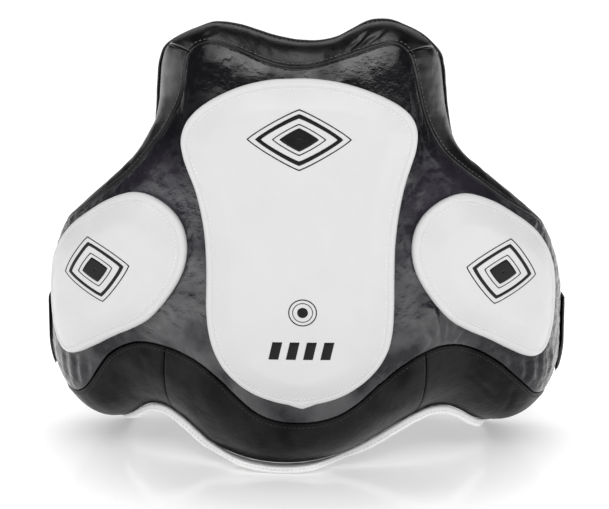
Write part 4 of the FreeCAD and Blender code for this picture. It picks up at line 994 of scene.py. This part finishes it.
class Pad:
    def thin(self, s):
        """The pads get thinner where they wrap round the side of the wing."""
        return 1 - self.taper * smooth((np.abs(s) - 212.0) / 48.0)

    def __init__(self, name, outline, kink, nodes, seed, taper=0.0):
        self.taper = taper
        ring = closed_spline(outline, 420)
        if signed_area(ring) < 0:
            ring = ring[::-1]
        # the rim strip's two ends meet in a small point
        f = (ring[:, 0] - kink[0])
        glow_distance = np.hypot(ring[:, 0] - kink[0], ring[:, 1] - kink[1])
        step_in = np.array((0, -1.0)) * (kink[2] * np.clip(1 - np.abs(f) / kink[3], 0, 1) * (glow_distance < 40))[:, None]
        plain, ring = ring, ring + step_in
        self.ring0 = ring
        profile = [(1.6, -1.4), (0.6, 0.2), (0.0, 2.2), (-0.45, 4.4), (-0.4, 6.6), (0.2, 8.5), (1.3, 9.9), (2.6, 10.7),
                   (4.0, 11.0), (5.0, 10.95), (5.6, 10.7), (6.0, 10.5), (6.4, 10.7), (7.1, 11.1), (8.6, 11.7), (11.0, 12.6)]
        self.core = inset(plain, 11.0)
        self.seed = seed
        rings = []
        for d, t in profile:
            q = inset(plain + step_in * max(1 - max(d, 0) / 9.0, 0), d) if d < 11.0 else self.core
            wob = 0.16 * noise(q[:, 0] / 9, q[:, 1] / 9, seed) if 0.5 < t < 12 else 0.0
            rings.append(skin(q[:, 0], q[:, 1], t * (self.thin(q[:, 0]) if t > 0 else 1.0)))
            if 0.5 < t < 12:
                rings[-1] = rings[-1] + skin_normal(q[:, 0], q[:, 1]) * np.asarray(wob)[:, None]
        R, N = len(rings), len(ring)
        lo, hi = self.core.min(0), self.core.max(0)
        step = 3.6
        gx, gy = np.arange(lo[0], hi[0], step), np.arange(lo[1], hi[1], step * 0.866)
        pts = np.array([(x + (0.5 * step if j % 2 else 0), y) for j, y in enumerate(gy) for x in gx])
        pts = pts[self.inside(pts)]
        pts = pts[self.depth(pts) > 2.4]
        allp = [Vector(q) for q in self.core] + [Vector(q) for q in pts]
        vs, _, tris, orig, _, _ = delaunay_2d_cdt(allp, [(i, (i + 1) % N) for i in range(N)], [], 1, 1e-5)
        index = [o[0] if o else -1 for o in orig]
        tris = [[index[i] for i in t] for t in tris]
        inner = skin(pts[:, 0], pts[:, 1], self.top(pts))
        under = skin(pts[:, 0], pts[:, 1], -1.4)
        base_ring = skin(self.core[:, 0], self.core[:, 1], -1.4)
        verts = np.concatenate(rings + [inner, base_ring, under])
        faces = []
        for r in range(R - 1):
            for i in range(N):
                k = (i + 1) % N
                faces.append([r * N + i, r * N + k, (r + 1) * N + k, (r + 1) * N + i])
        top0, in0 = (R - 1) * N, R * N
        b0 = in0 + len(pts)
        u0 = b0 + N
        m_top = lambda i: top0 + i if i < N else in0 + i - N
        m_bot = lambda i: b0 + i if i < N else u0 + i - N
        for t in tris:
            x, y = [allp[i] for i in t[:3]][0], None
            a2 = (allp[t[1]] - allp[t[0]]).cross(allp[t[2]] - allp[t[0]])
            t = t if a2 > 0 else t[::-1]
            faces.append([m_top(i) for i in t])
            faces.append([m_bot(i) for i in t[::-1]])
        for i in range(N):
            k = (i + 1) % N
            faces.append([i, b0 + i, b0 + k, k])
        fr = to_frame(verts)
        faces = fix_winding(fr, faces)
        self.ob = make(name, fr, faces, WHITE, "pad", nodes)
        q = inset(plain + step_in * 0.12, 7.9)
        q = np.concatenate([q, q[:1]])
        v, f = stitch_mesh(skin(q[:, 0], q[:, 1], 11.35 * self.thin(q[:, 0])), skin_normal(q[:, 0], q[:, 1]), 2.6, 1.5, 0.30)
        make(name + "_stitches", to_frame(v), f, THREAD_WHITE, "pad")

    def inside(self, p):
        r = self.core
        x0, y0 = r[:, 0], r[:, 1]
        x1, y1 = np.roll(x0, -1), np.roll(y0, -1)
        px, py = p[:, 0][:, None], p[:, 1][:, None]
        hit = ((y0 > py) != (y1 > py)) & (px < (x1 - x0) * (py - y0) / np.where(y1 == y0, 1e-9, y1 - y0) + x0)
        return hit.sum(1) % 2 == 1

    def depth(self, p):
        return np.sqrt(((p[:, None, :] - self.core[None]) ** 2).sum(-1)).min(1)

    def top(self, p):
        """Height of the cover above the panel at a point inside the core ring."""
        d = np.where(self.inside(p), self.depth(p), 0.0)
        x = d / 15.0                                  # a bevel of foam, then the flat top
        ramp = np.where(x < 0.7, x, np.where(x < 1.3, x - (x - 0.7) ** 2 / 1.2, 1.0))
        return (12.6 + 6.2 * ramp) * self.thin(p[:, 0]) + 0.30 * smooth(d / 20) * noise(p[:, 0] / 24, p[:, 1] / 24, self.seed, 2)


center = Pad("center_target_pad", CENTER_PAD, (1.5, 90.0, 4.0, 13.0), ("center_pad_cover", "center_pad_rim", "center_pad_foam"), 101)
right = Pad("right_target_pad", RIGHT_PAD, (232.0, 121.0, 0.0, 9.0), ("right_pad_cover", "right_pad_rim", "right_pad_foam"), 102, 0.50)
left = Pad("left_target_pad", LEFT_PAD, (-235.0, 120.0, 0.0, 9.0), ("left_pad_cover", "left_pad_rim", "left_pad_foam"), 103, 0.28)


# ------------------------------------------------------------------ printed marks, generic shapes only
def loop_band(outer, inner, across=3):
    """Rows of points from the outer closed curve to the inner one."""
    f = np.linspace(0, 1, across + 1)[:, None, None]
    return outer[None] * (1 - f) + inner[None] * f


def mark(name, pad, centre, tilt, bands):
    c, s = math.cos(math.radians(tilt)), math.sin(math.radians(tilt))
    parts = []
    for band, closed in bands:
        R, N = band.shape[:2]
        q = band.reshape(-1, 2)
        q = np.stack([centre[0] + q[:, 0] * c - q[:, 1] * s, centre[1] + q[:, 0] * s + q[:, 1] * c], 1)
        h = pad.top(q)
        t = skin(q[:, 0], q[:, 1], h + 0.22)
        u = skin(q[:, 0], q[:, 1], h - 0.5)
        verts = np.concatenate([t, u])
        faces, K = [], R * N
        span = N if closed else N - 1
        for r in range(R - 1):
            for i in range(span):
                k = (i + 1) % N
                faces.append([r * N + i, r * N + k, (r + 1) * N + k, (r + 1) * N + i])
                faces.append([K + r * N + i, K + (r + 1) * N + i, K + (r + 1) * N + k, K + r * N + k])
        for i in range(span):
            k = (i + 1) % N
            faces.append([i, K + i, K + k, k])
            o = (R - 1) * N
            faces.append([o + i, o + k, K + o + k, K + o + i])
        if not closed:
            for r in range(R - 1):
                faces.append([r * N, (r + 1) * N, K + (r + 1) * N, K + r * N])
                e = N - 1
                faces.append([r * N + e, K + r * N + e, K + (r + 1) * N + e, (r + 1) * N + e])
        parts.append((verts, fix_winding(verts, faces)))
    v, f = join(parts)
    return make(name, to_frame(v), f, INK, "pad")


def lozenge(hw, hh, count=64, bulge=1.12):
    """A soft-sided diamond, counter-clockwise."""
    t = np.linspace(0, 2 * np.pi, count, endpoint=False)
    x, y = np.cos(t), np.sin(t)
    k = (np.abs(x) ** bulge + np.abs(y) ** bulge) ** (-1 / bulge)
    return np.stack([x * k * hw, y * k * hh], 1)


def disc(r, count=48):
    t = np.linspace(0, 2 * np.pi, count, endpoint=False)
    return np.stack([np.cos(t), np.sin(t)], 1) * r


def slab4(x0, x1, y0, y1, lean, n=8):
    """A leaning bar as an open band: rows across, points along."""
    y = np.linspace(y0, y1, n)
    rows = [np.stack([x + lean * (y - y0), y], 1) for x in np.linspace(x0, x1, 4)]
    return np.stack(rows)


def emblem(hw, hh, k=1.0):
    L = lambda f, m: lozenge(hw * f - m * 1.2, hh * f - m)
    bands = [(loop_band(lozenge(hw, hh), L(1.0, 1.3 * k), 2), True),
             (loop_band(L(0.84, 0), L(0.84, 4.4 * k), 3), True),
             (loop_band(L(0.52, 0), L(0.52, 1.2 * k), 2), True),
             (loop_band(L(0.38, 0), L(0.38, 0) * 0.012, 5), True)]
    return bands


mark("center_emblem", center, (-1.0, 349.6), 0.0, emblem(47.5, 29.5))
mark("left_emblem", left, (-190.5, 216.3), 14.0, emblem(36.0, 32.0, 0.8))
mark("right_emblem", right, (184.2, 218.5), -14.0, emblem(36.0, 32.0, 0.8))
mark("center_stamp", center, (2.4, 187.0), 0.0, [(loop_band(disc(13.3), disc(12.3), 2), True), (loop_band(disc(9.6), disc(8.9), 2), True),
                                                 (loop_band(disc(5.0), disc(0.2), 4), True)])
mark("center_bars", center, (1.3, 149.0), 0.0, [(slab4(x, x + 9.0, -8.6, 8.6, 0.22), False) for x in (-30.5, -14.5, 1.5, 17.5)])


# ------------------------------------------------------------------ straps, band and small parts
def strip(name, centres, across, outward_dir, hu, hw, material, body, nodes, stitch=None, edge=3.0, soft=0.0,
          end_round=1.0, ripple=0.25, seed=7, radius=0.8, bend=None):
    """A flat sewn strip: centres (N,3) run along it, across and outward_dir (N,3) are unit vectors; hu half width, hw half thickness."""
    c = np.asarray(centres, float)
    N = len(c)
    U = np.broadcast_to(np.asarray(across, float), c.shape)
    W = np.broadcast_to(np.asarray(outward_dir, float), c.shape)
    s = np.concatenate([[0], np.cumsum(np.linalg.norm(np.diff(c, axis=0), axis=1))])
    end = np.minimum(s, s[-1] - s)
    pu = np.linspace(-1, 1, 23)
    rows = []
    for i in range(N):
        e = max(end[i], 0.0)
        k = math.sqrt(max(1 - max(1 - e / max(end_round, 1e-3), 0.0) ** 2, 0.0)) if e < end_round else 1.0
        k = max(k, 0.08)
        x = pu * (hu - radius * (1 - k))
        m = np.abs(x)
        side = np.sqrt(np.clip(1 - (np.clip(m - (hu - radius), 0, radius) / radius) ** 2, 0, 1))
        puff = 1.0 + soft * (smooth((hu - m) / (hu * 0.55))) * smooth(e / 16.0)
        if stitch is not None:
            puff = puff - 0.16 * np.exp(-((hu - m - edge) / 0.9) ** 2)
        t = hw * k * side * puff
        rip = ripple * noise(np.full_like(x, s[i] / 9.0) + seed, x / 9.0, seed, 2) * smooth((hu - m) / 4.0) * smooth(e / 4.0)
        rows.append(np.concatenate([np.stack([x, -t + rip], 1), np.stack([x[-2:0:-1], t[-2:0:-1] + rip[-2:0:-1]], 1)]))
    v, f = sweep(c, U, W, np.stack(rows))
    v = bend(v) if bend else v
    f = fix_winding(v, f)
    ob = make(name, to_frame(v), f, material, body, nodes)
    if stitch is not None:
        parts = []
        for sgn in (-1, 1):
            for face in (-1, 1):
                k = (end > edge * 0.9)
                path = c[k] + U[k] * sgn * (hu - edge) + W[k] * face * hw * 0.88
                path = bend(path) if bend else path
                parts.append(stitch_mesh(path, W[k] * face, 3.2, 1.8, 0.34))
        v, f = join(parts)
        make(name + "_stitches", to_frame(v), f, stitch, body)
    return ob


def dense(path, step):
    """Catmull-Rom points along an open path."""
    p = np.asarray(path, float)
    p = np.vstack([2 * p[0] - p[1], p, 2 * p[-1] - p[-2]])
    out = []
    for i in range(1, len(p) - 2):
        p0, p1, p2, p3 = p[i - 1:i + 3]
        n = max(int(np.linalg.norm(p2 - p1) / step), 1)
        for k in range(n):
            t = k / n
            out.append(0.5 * (2 * p1 + (p2 - p0) * t + (2 * p0 - 5 * p1 + 4 * p2 - p3) * t * t + (3 * p1 - p0 - 3 * p2 + p3) * t ** 3))
    out.append(p[-2])
    return np.array(out)


def plan_frame(path, z):
    """Centres and left-hand normals for a plan path at height z."""
    c = np.column_stack([path, np.full(len(path), z)])
    t = unit(np.gradient(c, axis=0))
    return c, np.stack([-t[:, 1], t[:, 0], 0 * t[:, 0]], 1)


UP = np.array((0.0, 0.0, 1.0))
HINGE_X, HINGE_Y, BOW = 251.0, 66.0, 22.0
BAND_Z = 117.5

fr = np.linspace(0, 1, 13)
band = [(HINGE_X - 3.2, HINGE_Y + 0.8)] + [(HINGE_X - 2 * HINGE_X * q, HINGE_Y + BOW * 4 * q * (1 - q)) for q in fr[1:-1]] + [(-HINGE_X + 3.2, HINGE_Y + 0.8)]
c, nl = plan_frame(dense(band, 4.0), BAND_Z)
strip("waist_band_webbing", c, UP, nl, 37.5, 1.5, WEBBING, "waist_band", ("waist_band",), THREAD_DARK, 4.0, ripple=0.1, seed=3)


def along_skin(s0, s1, z, t, n):
    s = np.linspace(s0, s1, n + 1)
    return skin(s, np.full_like(s, z), t)[:, :2]


def hug(side, z0=117.0):
    """Move points of an upright strip in or out with the crowned skin beside it; fades past the wing's end."""
    s = side * np.linspace(312.0, 366.0, 80)
    line = skin(s, np.full_like(s, z0), 0.0)[:, :2]

    def bend(v):
        v = np.array(v, float)
        near = np.linalg.norm(v[:, None, :2] - line[None], axis=-1)
        k = near.argmin(1)
        w = 1 - smooth((near[np.arange(len(v)), k] - 6.0) / 16.0)
        z = np.clip(v[:, 2], 70.0, 165.0)
        d = skin(s[k], z, 0.0)[:, :2] - line[k]
        v[:, :2] += d * w[:, None]
        return v
    return bend


tab = np.vstack([along_skin(-318.0, -366.0, 117.0, 3.6, 6), [(-257.0, 47.0), (-255.3, 55.0), (-252.9, 62.0)]])
c, nl = plan_frame(dense(tab, 2.5), BAND_Z)
strip("hook_tab_cover", c + nl * 0.1, UP, nl, 37.0, 0.85, STRAP, "hook_tab", ("hook_tab",), THREAD_DARK, 3.5, ripple=0.1, seed=4, bend=hug(-1))
c, nl = plan_frame(dense(tab[:7], 2.5), BAND_Z)
strip("hook_tab_hooks", c - nl * 1.6, UP, nl, 35.5, 0.35, HOOK, "hook_tab", ("hook_strip",), None, ripple=0.0, radius=0.4, bend=hug(-1))
loop_path = along_skin(-322.0, -371.0, 117.0, 0.975, 10)
c, nl = plan_frame(dense(loop_path, 2.5), BAND_Z - 0.5)
strip("loop_panel", c, UP, nl, 41.0, 0.375, LOOP, "pad", ("left_loop_patch",), None, ripple=0.0, radius=0.5, bend=hug(-1))
fixed = np.vstack([along_skin(318.0, 366.0, 117.0, 2.2, 6), [(255.6, 46.0), (254.6, 54.0), (252.9, 62.0)]])
c, nl = plan_frame(dense(fixed, 2.5), BAND_Z)
strip("band_anchor_patch", c - nl * 0.6, UP, nl, 40.5, 1.7, STRAP, "pad", ("right_band_anchor",), THREAD_DARK, 3.5, ripple=0.1, seed=5, bend=hug(1))

# the webbing is folded and sewn round a cord on both fold lines
for side, body, word, thick in ((-1, "waist_band", "left", 4.2), (1, "pad", "right", 3.1)):
    zz = np.linspace(BAND_Z - 37.0, BAND_Z + 37.0, 50)
    ang = np.linspace(0, 2 * np.pi, 16, endpoint=False)
    prof = np.stack([np.cos(ang), np.sin(ang)], 1)
    fat = thick * np.sqrt(np.clip(1 - np.clip((np.abs(zz - BAND_Z) - 34.8) / 2.2, 0, 1) ** 2, 0.02, 1)) * (1 + 0.02 * np.sin(zz * 1.1))
    c = np.column_stack([np.full_like(zz, side * HINGE_X), np.full_like(zz, HINGE_Y), zz])
    v, f = sweep(c, np.broadcast_to(np.array((1.0, 0.0, 0.0)), c.shape), np.broadcast_to(np.array((0.0, 1.0, 0.0)), c.shape), prof[None] * fat[:, None, None])
    make(word + "_fold_roll", to_frame(v), fix_winding(v, f), WEBBING, body, ())

STRAP_TOP, STRAP_LEN = 408.0, 150.0
for side, word in ((-1, "left"), (1, "right")):
    t = unit(np.array((0.93, side * 0.3676, 0.0)))
    n = np.array((-t[1], t[0], 0.0))
    q = inner_point(side * 119.0, STRAP_TOP)
    o = np.array((q[0] - side * 0.3676 * 9.0 + side * 1.5, q[1] + 0.93 * 9.0, 0.0))
    z_low = STRAP_TOP - 6 - STRAP_LEN
    zz = np.concatenate([np.linspace(STRAP_TOP - 5.0, STRAP_TOP - 9.0, 6), np.linspace(STRAP_TOP - 11.0, z_low + 6, 56), np.linspace(z_low + 4, z_low, 6)])
    c = np.column_stack([np.full_like(zz, o[0]), np.full_like(zz, o[1]), zz])
    strip(word + "_padded_strap", c, t, n, 22.0, 3.1, STRAP, word + "_shoulder_strap", (word + "_shoulder_strap",), THREAD_DARK, 4.5,
          soft=0.45, end_round=3.5, ripple=0.35, seed=11 + side, radius=2.4)
    zz = np.linspace(STRAP_TOP - 4.4, STRAP_TOP + 2.4, 9)
    c = np.column_stack([np.full_like(zz, o[0]), np.full_like(zz, o[1]), zz]) - n * 4.15
    patch = strip(word + "_anchor_patch", c, t, n, 20.0, 1.5, STRAP, "pad", (), None, end_round=1.4, ripple=0.1, seed=13)
    uu = np.linspace(-19, 19, 30)
    ang = np.linspace(0, 2 * np.pi, 16, endpoint=False)
    prof = np.stack([np.cos(ang), np.sin(ang)], 1)
    fat = 2.5 * np.sqrt(np.clip(1 - np.clip((np.abs(uu) - 17) / 2.2, 0, 1) ** 2, 0.02, 1)) * (1 + 0.03 * np.sin(uu * 0.9))
    c = np.array((o[0], o[1], STRAP_TOP)) + uu[:, None] * t
    v, f = sweep(c, np.broadcast_to(n, c.shape), np.broadcast_to(UP, c.shape), prof[None] * fat[:, None, None])
    roll = make(word + "_anchor_roll", to_frame(v), fix_winding(v, f), STRAP, "pad", (word + "_strap_anchor",))
    ring_z = z_low - 5.0
    zz = np.linspace(z_low + 1.0, ring_z + 2.1, 8)
    c = np.column_stack([np.full_like(zz, o[0]), np.full_like(zz, o[1]), zz])
    strip(word + "_ring_loop", c, t, n, 16.0, 1.4, WEBBING, word + "_shoulder_strap", (word + "_strap_ring_tab",), None, ripple=0.0, end_round=0.6)
    tail_top = ring_z - 16.0 - 1.75 - 0.4
    zz = np.linspace(tail_top, tail_top - 88.0, 48)
    c = np.column_stack([np.full_like(zz, o[0]), np.full_like(zz, o[1]), zz])
    strip(word + "_tail_webbing", c, t, n, 19.0, 1.3, WEBBING, word + "_strap_tail", (word + "_strap_tail",), THREAD_DARK, 2.6, ripple=0.15, seed=17)
    zz = np.linspace(tail_top - 42.0, tail_top - 86.0, 26)
    c = np.column_stack([np.full_like(zz, o[0]), np.full_like(zz, o[1]), zz]) + n * 1.95
    strip(word + "_tail_hooks", c, t, n, 17.0, 0.6, HOOK, word + "_strap_tail", (word + "_tail_hook_strip",), None, ripple=0.0, radius=0.5)
    # leather patch that carries the wing ring
    q = inner_point(side * 246.0, 168.0)
    px = q[0] - side * 2.1
    zz = np.linspace(205.5, 166.4, 26)
    c = np.column_stack([np.full_like(zz, px), np.full_like(zz, q[1]), zz])
    strip(word + "_ring_patch", c, np.array((0.0, 1.0, 0.0)), np.array((-side * 1.0, 0.0, 0.0)), 17.0, 1.5, STRAP, "pad",
          (word + "_wing_chape",), THREAD_DARK, 3.0, ripple=0.1, end_round=1.5, seed=19)


# ------------------------------------------------------------------ floor, light, camera
def floor_material():
    m = Mat("floor", Specular_IOR_Level=0.5, Emission_Color=(1, 1, 1, 1))
    glow_distance = m.node("ShaderNodeVectorMath", operation="LENGTH")       # painted light: the floor glows, weakly near the part as a painted shadow around it and more strongly away from it
    m.link(m.co, glow_distance.inputs[0])
    m.link(m.span(glow_distance.outputs["Value"], 0.17, 0.62, 0.16, 0.46), m.b.inputs["Emission Strength"])
    n = m.noise(0.8, 2.0)
    m.color(m.ramp(n, [(0.3, (0.84, 0.84, 0.84)), (0.7, (0.85, 0.85, 0.85))]))
    m.rough(m.span(n, 0.14, 0.18, 0.3, 0.7))
    return m.done()


me = bpy.data.meshes.new("floor")
R = 30.0
me.from_pydata([(-R, -R, 0), (R, -R, 0), (R, R, 0), (-R, R, 0)], [], [(0, 1, 2, 3)])
floor = bpy.data.objects.new("floor", me)
me.materials.append(floor_material())
bpy.context.scene.collection.objects.link(floor)

world = bpy.data.worlds.new("studio")
bpy.context.scene.world = world
world.use_nodes = True
wt = world.node_tree
bg = wt.nodes["Background"]
bg.inputs[0].default_value = (1, 1, 1, 1)
path = wt.nodes.new("ShaderNodeLightPath")
level = wt.nodes.new("ShaderNodeMapRange")          # the studio is dark in reflections, so the leather stays black
level.inputs["To Min"].default_value, level.inputs["To Max"].default_value = 0.88, 0.010
wt.links.new(path.outputs["Is Glossy Ray"], level.inputs["Value"])
wt.links.new(level.outputs[0], bg.inputs[1])
world.cycles.sampling_method = "NONE"


def area(name, at, look, size, level, color=(1, 1, 1), spread=180):
    """A softbox of that radiance."""
    l = bpy.data.lights.new(name, "AREA")
    l.shape = "RECTANGLE"
    l.size, l.size_y = size
    l.energy = level * math.pi * size[0] * size[1]
    l.color = color
    l.spread = math.radians(spread)
    o = bpy.data.objects.new(name, l)
    o.location = at
    o.rotation_mode = "QUATERNION"
    o.rotation_quaternion = (Vector(look) - Vector(at)).to_track_quat("-Z", "Y")
    o.visible_camera = False
    bpy.context.scene.collection.objects.link(o)
    return o


area("key_softbox", (0.0, -1.45, 1.75), (0, 0, 0.3), (2.4, 1.1), 2.3)
area("overhead_softbox", (0.0, 0.6, 2.3), (0, 0, 0.3), (1.2, 0.7), 2.3)
area("back_softbox", (0.0, 1.9, 0.95), (0, 0, 0.4), (2.0, 0.5), 0.60)
area("left_strip", (-1.7, 0.9, 0.9), (0, 0, 0.3), (0.35, 1.3), 1.3)
area("right_strip", (1.7, 0.9, 0.9), (0, 0, 0.3), (0.35, 1.3), 0.6)
area("left_card", (-1.65, -1.15, 0.42), (0, 0, 0.25), (1.0, 0.6), 1.25, (0.97, 0.95, 1.0))
area("right_card", (1.65, -1.15, 0.42), (0, 0, 0.25), (1.0, 0.6), 2.1, (0.96, 0.94, 1.0))
area("left_fill", (-2.0, -0.1, 0.42), (0, 0, 0.25), (0.9, 0.55), 0.35)
area("right_fill", (2.0, -0.1, 0.42), (0, 0, 0.25), (0.9, 0.55), 0.30)

cam = bpy.data.cameras.new("camera")
cam.sensor_width, cam.lens = 36.0, 36.0 * 2300 / 609
cam.clip_start, cam.clip_end = 0.05, 100.0
co = bpy.data.objects.new("camera", cam)
bpy.context.scene.collection.objects.link(co)
el, az = math.radians(14.5), math.radians(1.8)
look = Vector((-math.sin(az) * math.cos(el), math.cos(az) * math.cos(el), -math.sin(el)))
target = Vector((0.0003, -0.01325, 0.21154))
co.location = target - look * 2.3
co.rotation_mode = "QUATERNION"
co.rotation_quaternion = look.to_track_quat("-Z", "Y")
bpy.context.scene.camera = co
bpy.context.scene.view_settings.view_transform = "Standard"
